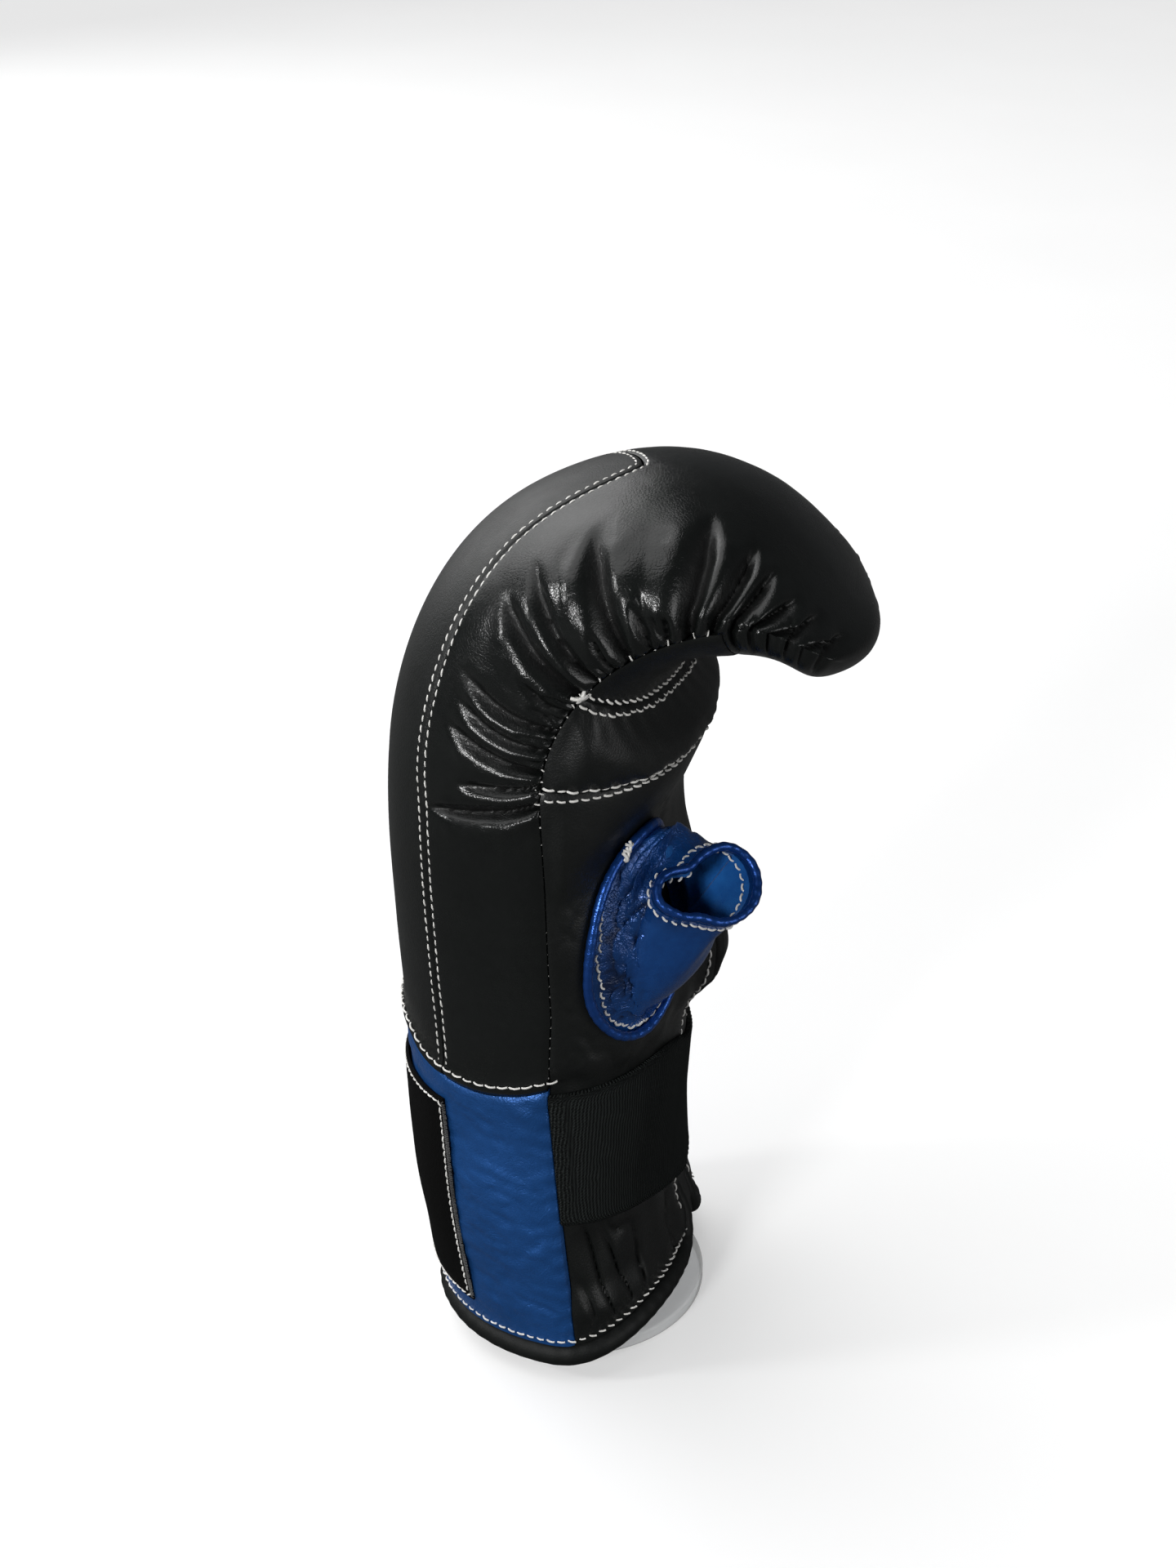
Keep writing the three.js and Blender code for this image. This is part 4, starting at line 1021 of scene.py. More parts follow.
gusset_rows = np.unique(np.round(np.concatenate([
    np.linspace(CUFF, 190, 40), np.linspace(190, TIP_AT - 18, 190),
    mix(TIP_AT - 18, TIP_AT, np.sin(np.linspace(0, math.pi / 2, 34))),
    [TONGUE_END + GAP / 2, FINGERS_END + GAP / 2],
]), 4))
gusset_shares = np.linspace(0, 1, 58)
gusset_left = gusset_grid(gusset_rows, gusset_shares, -1)
gusset_right = gusset_grid(gusset_rows, gusset_shares, 1)
tip_rows = gusset_rows[gusset_rows >= FINGERS_END + GAP / 2 - 0.001]
tip_patch = tip_grid(tip_rows, np.linspace(0, 1, 61))
side_grids = (gusset_left, gusset_right, tip_patch)
# The fold mark carries the painted shade in the gathers' valleys.
side_marks = {"crumple": [g[2] for g in side_grids], "fold": [g[3] for g in side_grids]}
add_sheet("side_leather", [(g[0], g[1], surface_uv(g[0])) for g in side_grids], [GATHERED_LEATHER, LINING],
          ["side_gusset"], sharp=80, marks=side_marks)

# %% [markdown]
# The cuff is one blue panel round the back of the wrist, thinly padded and softly wrinkled from
# being pulled on. Its top runs on under the turned black edge, and its side edges are drawn in a
# little where they are sewn to the elastic.

# %% The blue cuff
def rim_rise(turn):
    return RIM_RISE * smooth(np.abs(turn), math.pi / 2, 0.9 * math.pi)


def cuff_grid(rows, columns):
    """Outer and inner points of the cuff: rows run from 0 to 1, columns from -1 to 1."""
    t, across = lattice(rows, columns)
    low = rim_rise(across * seam_turn(outer_size(np.zeros_like(t)), GAP / 2)) + RIM_ROLL + GAP
    seam = seam_turn(outer_size(np.full_like(t, CUFF)), GAP / 2)
    top = wrist_edge(np.abs(across * seam)) + 3.5
    s = mix(low, top, t)
    size = outer_size(s)
    turn = across * seam_turn(size, GAP / 2)
    outer = section_point(s, size, turn)
    hollow = hollow_size(s, PALM_LEATHER)
    inner = section_point(s, hollow, across * seam_turn(hollow, GAP / 2))
    side = seam_distance(outer)
    tucked = smooth(s, top - 6.5, top - 3.5)
    free = smooth(s - low, 2, 14) * (1 - tucked) * smooth(side, 0.5, 7)
    wave = 0.36 * soft_noise(outer * [1, 1, 1.3], 15, seed=11)
    wave = wave + 0.16 * soft_noise(outer * [1, 1, 1.8], 4.5, seed=12)
    crease = (0.4 + 0.7 * np.exp(-side / 14)) * ridges(outer * [0.7, 0.7, 1.5], 10, seed=13) ** 5
    scallop = 0.3 * np.sin(FULL_TURN * s / 6.5) * fade(side, 1, 6)
    sink = rolled(side, 0.8, 2.4) + 1.5 * tucked + free * (crease - wave) + scallop
    return sunk(outer, inner, sink), inner


cuff_outer, cuff_inner = cuff_grid(np.linspace(0, 1, 90), np.linspace(-1, 1, 150))
add_panel("cuff_leather", cuff_outer, cuff_inner, [CUFF_LEATHER, LINING], ["cuff_panel"],
          "blue_leather", padded=0.5)

# %% [markdown]
# A woven label is sewn flat over the back of the cuff. It is thin, with its edges pressed down by
# their stitches and soft waves between them.

# %% The label
LABEL = 1.0
LABEL_HALF_TURN = math.radians(63)
LABEL_LOW = 0.13 * CUFF
LABEL_HIGH = 0.92 * CUFF


def label_point(s, turn, lift):
    size = outer_size(s, -lift)
    size["back"] = size["back"] + lift
    return section_point(s, size, turn)


def label_grid(rows, columns):
    s, turn = lattice(rows, columns)
    from_side = (LABEL_HALF_TURN - np.abs(turn)) * HALF_WIDTH
    edge = np.minimum(np.minimum(s - LABEL_LOW, LABEL_HIGH - s), from_side)
    plain = label_point(s, turn, 0.0)
    lift = GAP + LABEL - rolled(edge, 0.5, 1.2) + 0.22 * soft_noise(plain, 12, seed=15) * smooth(edge, 1, 8)
    return label_point(s, turn, lift), label_point(s, turn, GAP)


label_outer, label_inner = label_grid(np.linspace(LABEL_LOW, LABEL_HIGH, 70),
                                      np.linspace(-LABEL_HALF_TURN, LABEL_HALF_TURN, 130))
add_panel("label_cloth", label_outer, label_inner, [LABEL_CLOTH, LABEL_CLOTH], ["label_patch"], "label")

# %% [markdown]
# The palm is one sheet of leather from the rim to the grip bar. It is made whole, with its folds,
# and then cut through twice with a boolean: once for the slit, which is open to the rim, and once
# for the hole into the thumb. A boolean keeps the cut edges square, as a clicker knife leaves them.

# %% Palm grid
THUMB_Y = -27.0
THUMB_HEIGHT = 146.5
THUMB_HALF_WIDTH = 22.0
THUMB_HALF_HEIGHT = 34.0
THUMB_LEAN = 5.0
WELT = 1.5
SLEEVE_FOOT = 2 * WELT + 2 * GAP
GATHERS_AT = 106.0
HEEL_AT = 178.0
HEEL_SWELL = 2.8


def palm_pair(s, share):
    """Outer and inner points of the palm side at lengths s and shares from seam to seam."""
    def turn_of(size):
        seam = seam_turn(size, -GAP / 2)
        return mix(seam, FULL_TURN - seam, share)

    inset = (ELASTIC + GAP) * under_elastic(s)
    size = outer_size(s, inset)
    hollow = hollow_size(s, palm_wall_at(s) + inset)
    outer = section_point(s, size, turn_of(size))
    inner = section_point(s, hollow, turn_of(hollow))
    stand = flare(outer[..., 1], s)[..., None] * np.array([1.0, 0, 0])
    return outer + stand, inner + stand


def oval_place(turn, shrink):
    """Width and length of points on the thumb's oval, made smaller by shrink."""
    y = THUMB_Y + (THUMB_HALF_WIDTH - shrink) * np.cos(turn) + THUMB_LEAN * np.sin(turn)
    return y, THUMB_HEIGHT + (THUMB_HALF_HEIGHT - shrink) * np.sin(turn)


def oval_distance(points):
    """0 in the middle of the thumb's oval, 1 on its edge."""
    height = (points[..., 2] - RIM_Z - THUMB_HEIGHT) / THUMB_HALF_HEIGHT
    width = (points[..., 1] - THUMB_Y - THUMB_LEAN * height) / THUMB_HALF_WIDTH
    return np.hypot(height, width)


def palm_folds(points, s):
    """Height of the palm leather's folds.

    They hang below the elastic by the thumb, stand upright beyond the slit, are gathered above the
    elastic and creased round the thumb, and the heel of the hand swells out.
    """
    y = points[..., 1]
    away_from_thumb = smooth(oval_distance(points), 1.02, 1.5)
    free = smooth(seam_distance(points), 1, 8)
    upright = soft_noise(points * [0.6, 1, 0.28], 6.5, seed=21)
    low = fade(s, 42, 54) * smooth(s, 7, 18) * fade(y, 2, 9)
    hanging = 0.9 * soft_noise(points * [0.6, 1, 0.3], 7, seed=26)
    hanging = hanging - 1.5 * ridges(points * [0.5, 1, 0.3], 9, seed=27) ** 3
    flap = smooth(y, SLIT_Y + 7, SLIT_Y + 13) * smooth(s, 14, 26) * fade(s, 150, 185)
    drawn = soft_noise(points * [0.6, 1, 0.45], 4.2, seed=22)
    band = hump(s, GATHERS_AT, 9) * (y < SLIT_Y)
    level = ridges(points * [1, 0.5, 1], 5, seed=23) ** 2
    round_thumb = hump(oval_distance(points), 1.18, 0.16)
    crinkle = 0.7 * level * round_thumb * smooth(oval_distance(points), 1.0, 1.1)
    heel = HEEL_SWELL * hump(s, HEEL_AT, 15) * smooth(np.abs(y - 10), 0, 30)
    even = 0.15 * soft_noise(points, 8, seed=24)
    hung = 1.3 * low * hanging + 1.25 * flap * upright + 0.6 * band * drawn
    return free * (hung + even * away_from_thumb - crinkle + heel * away_from_thumb)


def palm_grid(rows, shares):
    row, share = lattice(rows, shares)
    seam = seam_turn(outer_size(np.zeros(1)), -GAP / 2)
    rise = rim_rise(mix(seam, math.pi, 1 - np.abs(2 * share - 1)))
    s = row + rise * fade(row, RIM_ROLL + GAP, PRESS_AT[1])
    outer, inner = palm_pair(s, share)
    height = palm_folds(outer, s)
    inside = inward(outer, inner)
    top = GRIP_AT - GAP / 2 - s
    side = seam_distance(outer)
    sink = rolled(side, 0.6, 1.8) + rolled(top, 1.4, 4.0) - height
    return outer + inside * sink[..., None], inner - inside * np.minimum(height, 0)[..., None] * 0.6


# %% Cutting the slit and the hole into the thumb
CORNER_RADIUS = 12.0
SLIT_FOOT = RIM_Z + RIM_RISE + CORNER_RADIUS
SLIT_END_Z = RIM_Z + SLIT_TOP - SLIT_EDGE
CUT_RADIUS = CORNER_RADIUS - RIM_ROLL - GAP
CORNER_Y = SLIT_Y - SLIT_EDGE - CUT_RADIUS


def arc(y, z, radius, start, stop, count):
    turn = np.linspace(start, stop, count)
    return np.stack([y + radius * np.cos(turn), z + radius * np.sin(turn)], -1)


def cutter(outline):
    """A prism through the palm along X, from an outline of y and z in millimetres."""
    count = len(outline)
    points = np.array([(x, y, z) for x in (0, 110) for y, z in outline])
    sides = [[i, (i + 1) % count, count + (i + 1) % count, count + i] for i in range(count)]
    ends = [list(range(count)), list(range(2 * count - 1, count - 1, -1))]
    mesh = make_mesh("cutter", points, [*ends, *sides])
    return put("cutter", mesh)


def cut_out(mesh, outlines):
    """The mesh with prisms cut out of it."""
    whole = put("uncut", mesh)
    tools = [cutter(outline) for outline in outlines]
    for tool in tools:
        cut = whole.modifiers.new("cut", "BOOLEAN")
        cut.operation = "DIFFERENCE"
        cut.solver = "MANIFOLD"
        cut.object = tool
    graph = bpy.context.evaluated_depsgraph_get()
    result = bpy.data.meshes.new_from_object(whole.evaluated_get(graph))
    for made in (whole, *tools):
        bpy.data.objects.remove(made)
    return result


near_corner = arc(CORNER_Y, SLIT_FOOT, CUT_RADIUS, -math.pi / 2, 0, 12)
slit_end = arc(SLIT_Y, SLIT_END_Z, SLIT_EDGE, math.pi, 0, 24)
far_corner = (near_corner * [-1, 1] + [2 * SLIT_Y, 0])[::-1]
slit_cut = np.concatenate([
    [(CORNER_Y, 0)], near_corner, slit_end, far_corner, [(2 * SLIT_Y - CORNER_Y, 0)],
])
hole_y, hole_s = oval_place(np.linspace(0, FULL_TURN, 90)[:-1], SLEEVE_FOOT + THUMB_LEATHER)
hole_cut = np.stack([hole_y, RIM_Z + hole_s], -1)
palm_rows = np.linspace(RIM_ROLL + GAP, GRIP_AT - GAP / 2, 150)
palm_outer, palm_inner = palm_grid(palm_rows, np.linspace(0, 1, 140))
palm_parts = sheet_faces([(palm_outer, palm_inner, surface_uv(palm_outer))])
palm_whole = make_mesh("palm_whole", *palm_parts[:5])
palm_mesh = cut_out(palm_whole, [slit_cut, hole_cut])
palm_mesh.name = "palm_leather"
palm_mesh.set_sharp_from_angle(angle=math.radians(50))
add_piece(palm_mesh, [BLACK_LEATHER, LINING], ["palm_panel"])

# %% [markdown]
# The grip bar is the fat roll that the fingers close on: foam under leather, sewn tight along both
# sides, so that it swells between its seams and puckers at the stitches. The finger panel beyond
# it is thin and flat.

# %% Grip bar and finger panel
GRIP_STITCH = 7.0
# Columns: start, end, swell of the foam, depth of the sewn edges, seed of the wrinkles.
BAR = (GRIP_AT, FINGERS_AT, 5.2, 1.4, 31)
FINGERS = (FINGERS_AT, FINGERS_END, 0.5, 0.6, 33)


def band_grid(band, rows, shares):
    start, stop, swell, edge_depth, seed = band
    t, share = lattice(rows, shares)
    s = mix(start + GAP / 2, stop - GAP / 2, t)
    outer, inner = palm_pair(s, share)
    edge = np.minimum(s - start, stop - s)
    side = seam_distance(outer)
    across = arc_lengths(outer, 1)
    pucker = np.exp(-edge / 5) * 0.5 * np.sin(FULL_TURN * across / GRIP_STITCH + seed)
    bulge = swell * np.sin(math.pi * t) ** 0.7 * smooth(side, 0, 12)
    wrinkle = 0.25 * soft_noise(outer * [1, 0.7, 1], 6, seed=seed) * smooth(side, 1, 6)
    sink = rolled(edge, edge_depth, 2.6) + rolled(side, 0.8, 2.2) + pucker * min(swell, 3) / 3
    sink = sink - bulge - wrinkle
    return sunk(outer, inner, sink), inner


grip_grid = band_grid(BAR, np.linspace(0, 1, 46), np.linspace(0, 1, 150))
add_panel("grip_leather", *grip_grid, [BLACK_LEATHER, LINING], ["grip_bar"], "black_leather", padded=1.0)
finger_grid = band_grid(FINGERS, np.linspace(0, 1, 50), np.linspace(0, 1, 120))
add_panel("finger_leather", *finger_grid, [BLACK_LEATHER, LINING], ["finger_panel"], "black_leather")

# %% [markdown]
# The elastic is a wide woven band across the slit. Its end by the thumb is overlocked into short
# level ribs, and the rest shows a fine slanting twill.

# %% The elastic band
ELASTIC_EDGES = np.array([  # share of the way from the thumb side's seam, lower and upper edge
    (0.0, 0.54, 1.02), (0.25, 0.49, 1.02), (0.45, 0.41, 0.99), (0.62, 0.31, 0.87), (0.8, 0.36, 0.86),
    (1.0, 0.42, 0.9),
])
elastic_low = curve_through(ELASTIC_EDGES[:, 0], ELASTIC_EDGES[:, 1] * CUFF)
elastic_high = curve_through(ELASTIC_EDGES[:, 0], ELASTIC_EDGES[:, 2] * CUFF)


def elastic_grid(rows, shares):
    t, share = lattice(rows, shares)
    s = mix(elastic_low(1 - share), elastic_high(1 - share), t)

    def at(inset):
        size = outer_size(s, inset)
        seam = seam_turn(size, -GAP / 2)
        return section_point(s, size, mix(seam, FULL_TURN - seam, share))

    outer = at(0.0)
    inner = at(ELASTIC)
    lengths = arc_lengths(outer, 1)
    from_thumb = lengths.max(1, keepdims=True) - lengths
    edge = np.minimum(s - elastic_low(1 - share), elastic_high(1 - share) - s)
    ribs = 0.22 * np.sin(FULL_TURN * s / 1.25) * fade(from_thumb, 4.5, 6.5)
    sewn = -0.35 * hump(from_thumb, 7, 1.2)
    soft = 0.18 * soft_noise(outer * [1, 1, 0.4], 7, seed=41) * smooth(from_thumb, 6, 12)
    edge_waves = 0.2 * np.sin(FULL_TURN * lengths / 2.3) * np.exp(-edge / 1.6)
    lift = ribs + sewn + soft + edge_waves - rolled(edge, 0.5, 0.9) - rolled(from_thumb, 0.5, 1.0)
    return sunk(outer, inner, -lift), inner


elastic_outer, elastic_inner = elastic_grid(np.linspace(0, 1, 130), np.linspace(0, 1, 190))
add_panel("elastic_web", elastic_outer, elastic_inner, [ELASTIC_TAPE, ELASTIC_TAPE], ["elastic_band"],
          "elastic")

# %% [markdown]
# One strip of leather is rolled over the raw edge all round the rim, up one side of the slit and
# down the other. It is a tube here, pinched a little at every stitch.

# %% Rolled tubes
def tube_grid(path, radii, outward, sides):
    """Rings of points round a closed path. outward tells the direction of each ring's start."""
    tangent = unit(np.roll(path, -1, axis=0) - np.roll(path, 1, axis=0))
    first = unit(outward - tangent * np.sum(outward * tangent, -1, keepdims=True))
    second = np.cross(tangent, first)
    turn = FULL_TURN * np.arange(sides) / sides
    ring = first[:, None] * np.cos(turn)[None, :, None] + second[:, None] * np.sin(turn)[None, :, None]
    reach = radii if radii.ndim == 2 else radii[:, None]
    return path[:, None] + ring * reach[..., None]


def add_tube(name, grid, materials, nodes):
    rows, sides = grid.shape[:2]
    index = np.arange(rows * sides).reshape(rows, sides)
    ahead = np.roll(index, -1, axis=0)
    faces = np.stack([index, np.roll(index, -1, 1), np.roll(ahead, -1, 1), ahead], -1).reshape(-1, 4)
    mesh = make_mesh(name, grid.reshape(-1, 3), faces)
    return add_piece(mesh, materials, nodes)


def path_lengths(path):
    return np.concatenate([[0], np.cumsum(np.linalg.norm(np.diff(path, axis=0), axis=1))])


# %% The rim's and the slit's binding
def slit_point(y, z):
    """A point of the slit's rolled edge, as deep as the leather lies there."""
    s = z - RIM_Z
    point = palm_face(y, s)
    point[..., 0] -= mix(PALM_LEATHER / 2, SLIT_ROLL + GAP, under_elastic(s))
    return point


def binding_path():
    """The path's points and the roll's radius at each of them."""
    size = outer_size(np.array(RIM_RISE))

    def turn_at(y):
        return math.asin((abs(y) / float(size["side"])) ** (PALM_ROUNDNESS / 2))

    turn = np.linspace(-(math.pi + turn_at(CORNER_Y)), math.pi - turn_at(2 * SLIT_Y - CORNER_Y), 47)
    s = rim_rise(turn)
    outside = section_point(s, outer_size(s), turn)
    inside = section_point(s, hollow_size(s, PALM_LEATHER), turn)
    rim = mix(outside, inside, 0.5)
    roll_radius = SLIT_OPENING / 2 + SLIT_ROLL
    t = np.linspace(0, 1, 6)[1:]
    roll = mix(RIM_ROLL, SLIT_ROLL, t)
    turning = mix(-math.pi / 2, 0, t)
    reach = CUT_RADIUS + roll + GAP
    corner = np.stack([CORNER_Y + reach * np.cos(turning), SLIT_FOOT + reach * np.sin(turning), roll], -1)
    up = np.linspace(0, 1, 14)[1:]
    height = mix(SLIT_FOOT, SLIT_END_Z, up)
    edge = np.stack([np.full(13, SLIT_Y - roll_radius), height, np.full(13, SLIT_ROLL)], -1)
    top = arc(SLIT_Y, SLIT_END_Z, roll_radius, math.pi, math.pi / 2, 5)[1:]
    top = np.concatenate([top, np.full((4, 1), SLIT_ROLL)], -1)
    near = np.concatenate([corner, edge, top])
    far = near[:-1][::-1] * [-1, 1, 1] + [2 * SLIT_Y, 0, 0]
    run = np.concatenate([near, far])[::-1]
    path = np.concatenate([rim, slit_point(run[:, 0], run[:, 1])])
    return path, np.concatenate([np.full(len(rim), RIM_ROLL), run[:, 2]])


def refined(path, values, step):
    """A closed path and its values, resampled at an even step and eased round its corners."""
    closed = np.concatenate([path, path[:1]])
    lengths = path_lengths(closed)
    wanted = np.linspace(0, lengths[-1], int(lengths[-1] / step))[:-1]
    table = np.concatenate([closed, np.append(values, values[0])[:, None]], -1)
    even = np.stack([np.interp(wanted, lengths, table[:, i]) for i in range(4)], -1)
    for _ in range(6):
        even = (np.roll(even, 1, 0) + 2 * even + np.roll(even, -1, 0)) / 4
    return even[:, :3], even[:, 3], wanted


binding_line, binding_radius, binding_along = refined(*binding_path(), 1.1)
binding_out = unit((binding_line - [WRIST_X, 0, 0]) * [1, 1, 0])
binding_turn = FULL_TURN * np.arange(22) / 22
pinch = np.cos(FULL_TURN * binding_along / 5.2)[:, None] * np.maximum(np.cos(binding_turn - 0.4), 0)
drag = 0.025 * soft_noise(binding_line, 9, seed=44)[:, None] * np.sin(binding_turn + 0.7)[None, :]
binding_grid = tube_grid(binding_line, binding_radius[:, None] * (1 - 0.03 * pinch + drag), binding_out, 22)
add_tube("edge_roll", binding_grid, [ROLLED_LEATHER], ["edge_binding"])

# %% [markdown]
# The thumb is a short open sleeve. Its foot is an oval sewn into the palm, its mouth a smaller,
# lobed ring that faces forwards and up. The leather between them is pulled tight over the front and
# crumples behind and above, where the way is shorter than the leather.

# %% The thumb's oval and mouth
THUMB_REACH = 18.5
THUMB_RISE = 15.5
THUMB_SWING = 2.5
THUMB_MOUTH = 17.0
THUMB_ROLL = 1.8
SLEEVE_PULL = 1.15
# Turns round the sleeve: 0 faces the slit and a quarter turn is the top.
LOOSE_AT = math.radians(55)
BEHIND_AT = math.radians(42)
LOBE_AT = math.radians(100)
TIGHT_AT = math.radians(222)
WAIST_AT = math.radians(315)
THICK_AT = math.radians(-25)
MOUTH_FACING = unit(np.array([0.55, -0.45, 0.7]))
MOUTH_OUTLINE = np.array([  # turn in degrees, reach as a share of THUMB_MOUTH
    (-75, 0.7), (-35, 0.72), (0, 0.8), (35, 0.93), (70, 1.02), (100, 0.93), (130, 0.7), (165, 0.56),
    (190, 0.62), (215, 1.0), (237, 1.13), (258, 0.95), (285, 0.7), (325, 0.72), (360, 0.8), (395, 0.93),
])
mouth_reach = curve_through(MOUTH_OUTLINE[:, 0], MOUTH_OUTLINE[:, 1] * THUMB_MOUTH)
mouth_middle = palm_face(THUMB_Y, THUMB_HEIGHT) + [THUMB_REACH, THUMB_SWING, THUMB_RISE]
mouth_down = unit(np.cross([0.0, 1, 0], MOUTH_FACING))
mouth_across = np.cross(MOUTH_FACING, mouth_down)


def oval_point(turn, shrink, lift):
    """Points over the palm, on the thumb's oval."""
    y, s = oval_place(turn, shrink)
    return palm_face(y, s) + palm_normal(y, s) * np.asarray(lift)[..., None]


def mouth_point(turn, shrink):
    """Points on the mouth's outline, made smaller by shrink."""
    around = turn + math.pi / 2
    reach = mouth_reach(np.degrees(around) % 360) - shrink
    return mouth_middle + reach[..., None] * (
        mouth_down * np.cos(around)[..., None] + mouth_across * np.sin(around)[..., None])


# %% The sleeve
TOP_SWELL = 8.5  # how far the loose upper wall stands up
TUCK = 1.6  # how far the sleeve's foot runs under the welt


def sleeve_at(t, turn, shrink):
    """Points of the plain sleeve: t is 0 at its foot and 1 at its mouth."""
    pull = SLEEVE_PULL * math.hypot(THUMB_REACH, THUMB_RISE)
    margin = 7.0 * smooth(np.cos(turn - TIGHT_AT), -0.2, 0.8) * smooth(t, 0, 0.2)
    base = oval_point(turn, SLEEVE_FOOT + shrink + margin, np.full(turn.shape, GAP))
    mouth = mouth_point(turn, shrink)
    t = t[..., None]
    rise = t * t * (3 - 2 * t)
    leaving = np.array([pull, 0, 0]) * t * (1 - t) ** 2 * smooth(t, -0.05, 0.2)
    return base * (1 - rise) + mouth * rise + leaving - MOUTH_FACING * pull * t * t * (1 - t)


def sleeve_grid(rows, turns):
    """Outer and inner points of the sleeve, how crumpled it is, and a mark of painted shade and dulling for
    its folds.

    The loose leather stands up on top and crumples there and on the side away from the slit. It is
    drawn in close to the welt and at its waist, and thick inside towards the turned edge.
    """
    t, turn = lattice(rows, turns)
    outer = sleeve_at(t, turn, -TUCK * fade(t, 0, 0.12))
    inner = sleeve_at(t, turn, THUMB_LEATHER)
    way = inward(outer, inner)
    lengths = arc_lengths(outer, 0)
    left = smooth(-np.cos(turn), 0.1, 0.8)
    top = hump(turn, LOOSE_AT, 0.85)
    reach = 9 + 7 * left + 30 * top
    where = smooth(lengths, 1.4, 3.0) * fade(lengths, 0.6 * reach, 1.2 * reach)
    where = where * fade(t, 0.84, 0.93)
    flat = np.stack([turn * 24, lengths * 0.8, np.zeros_like(t)], -1)
    upright = flat * np.stack([mix(0.5, 1.0, top), mix(1.5, 1.0, top), np.ones_like(t)], -1)
    deep = ridges(upright, 5.5, seed=51) ** 1.6
    raised = ridges(upright + 7, 5.0, seed=57) ** 1.8
    fine = ridges(upright * 1.1, 2.6, seed=52) ** 2
    folds = (0.85 + 0.4 * top) * (2.1 * deep - 1.4 * raised) + 0.8 * fine
    behind = 1 - 0.8 * smooth(np.cos(turn - BEHIND_AT), 0.3, 0.8)
    crumple = where * behind * (folds - 0.4 * soft_noise(flat, 8, seed=53))
    tight = (1 - where) * smooth(lengths, 3, 9) * 0.2 * soft_noise(flat * [1, 0.5, 1], 9, seed=54)
    swell = TOP_SWELL * top * np.sin(math.pi * t**1.4) ** 1.2
    drawn = 1.6 * left * hump(lengths, 9, 4.5)
    waist = 5.5 * hump(turn, WAIST_AT, 0.85) * hump(t, 0.74, 0.19)
    sink = crumple + tight + drawn + waist - swell
    from_far = np.abs((turn - THICK_AT + math.pi) % FULL_TURN - math.pi)
    bulk = (7.5 - waist) * hump(from_far, 0, 1.6)
    bulk = bulk * smooth(1 - t, 0.04, 0.4) * smooth(t, 0.08, 0.35)
    crumple_mark = np.clip(where + 0.05, 0, 1)
    # Painted shade: this mark darkens the colour and dulls the gloss in the folds, and more across the
    # crumpled side away from the slit.
    shade_and_dull_mark = np.clip((crumple - 0.5) / 1.3, 0, 1) * (1 - 0.5 * top) + 0.5 * left * where
    shade_and_dull_mark = np.clip(shade_and_dull_mark, 0, 1)
    wall = np.linalg.norm(inner - outer, axis=-1)
    lobe = hump(turn, LOBE_AT, 0.6) * smooth(t, 0.2, 0.5) * fade(t, 0.93, 1)
    thick = sink - np.minimum(crumple, 0.35 * wall) + bulk + 2.2 * lobe
    return outer + way * sink[..., None], inner + way * thick[..., None], crumple_mark, shade_and_dull_mark


SLEEVE_ROWS = np.linspace(0, 1, 80)
sleeve_turns = np.linspace(0, FULL_TURN, 201)
sleeve_outer, sleeve_inner, sleeve_crumple, sleeve_shade_and_dull = sleeve_grid(SLEEVE_ROWS, sleeve_turns)
sleeve_outer[:, -1] = sleeve_outer[:, 0]
sleeve_inner[:, -1] = sleeve_inner[:, 0]
add_panel("thumb_leather", sleeve_outer, sleeve_inner, [THUMB_BLUE, SUEDE], ["thumb_sleeve"],
          "blue_leather", marks={"crumple": [sleeve_crumple], "fold": [sleeve_shade_and_dull]})

# %% [markdown]
# A piped welt covers the seam round the oval, and the mouth's edge is turned over a cord.

# %% The welt and the mouth's turned edge
round_turn = np.linspace(0, FULL_TURN, 241)[:-1]
welt_line = oval_point(round_turn, WELT, np.full(len(round_turn), WELT + GAP))
welt_y, welt_s = oval_place(round_turn, WELT)
welt_along = path_lengths(welt_line)
welt_beads = 0.04 * np.cos(FULL_TURN * welt_along / 3.4)
welt_radius = WELT * (1 - 0.05 * soft_noise(welt_line, 5, seed=61) + welt_beads)
welt_grid = tube_grid(welt_line, welt_radius, palm_normal(welt_y, welt_s), 18)
add_tube("thumb_piping", welt_grid, [THUMB_EDGE], ["thumb_welt"])
mouth_line = mouth_point(round_turn, THUMB_LEATHER / 2) + MOUTH_FACING * (THUMB_ROLL + GAP)
mouth_along = path_lengths(mouth_line)
mouth_beads = 0.06 * np.cos(FULL_TURN * mouth_along / 3.2)
mouth_radius = 0.72 * THUMB_ROLL * (1.04 + 0.07 * soft_noise(mouth_line, 4, seed=62) - mouth_beads)
mouth_grid = tube_grid(mouth_line, mouth_radius, mouth_line - mouth_middle, 18)
add_tube("thumb_mouth_edge", mouth_grid, [THUMB_EDGE], ["thumb_mouth_roll"])

# %% [markdown]
# The stand is a disc with softened edges and a tapered tube on it, both turned forms, so each is a
# profile spun round the upright axis.

# %% The clear stand
DISC_RADIUS = 44.0
DISC_EDGE = 0.9


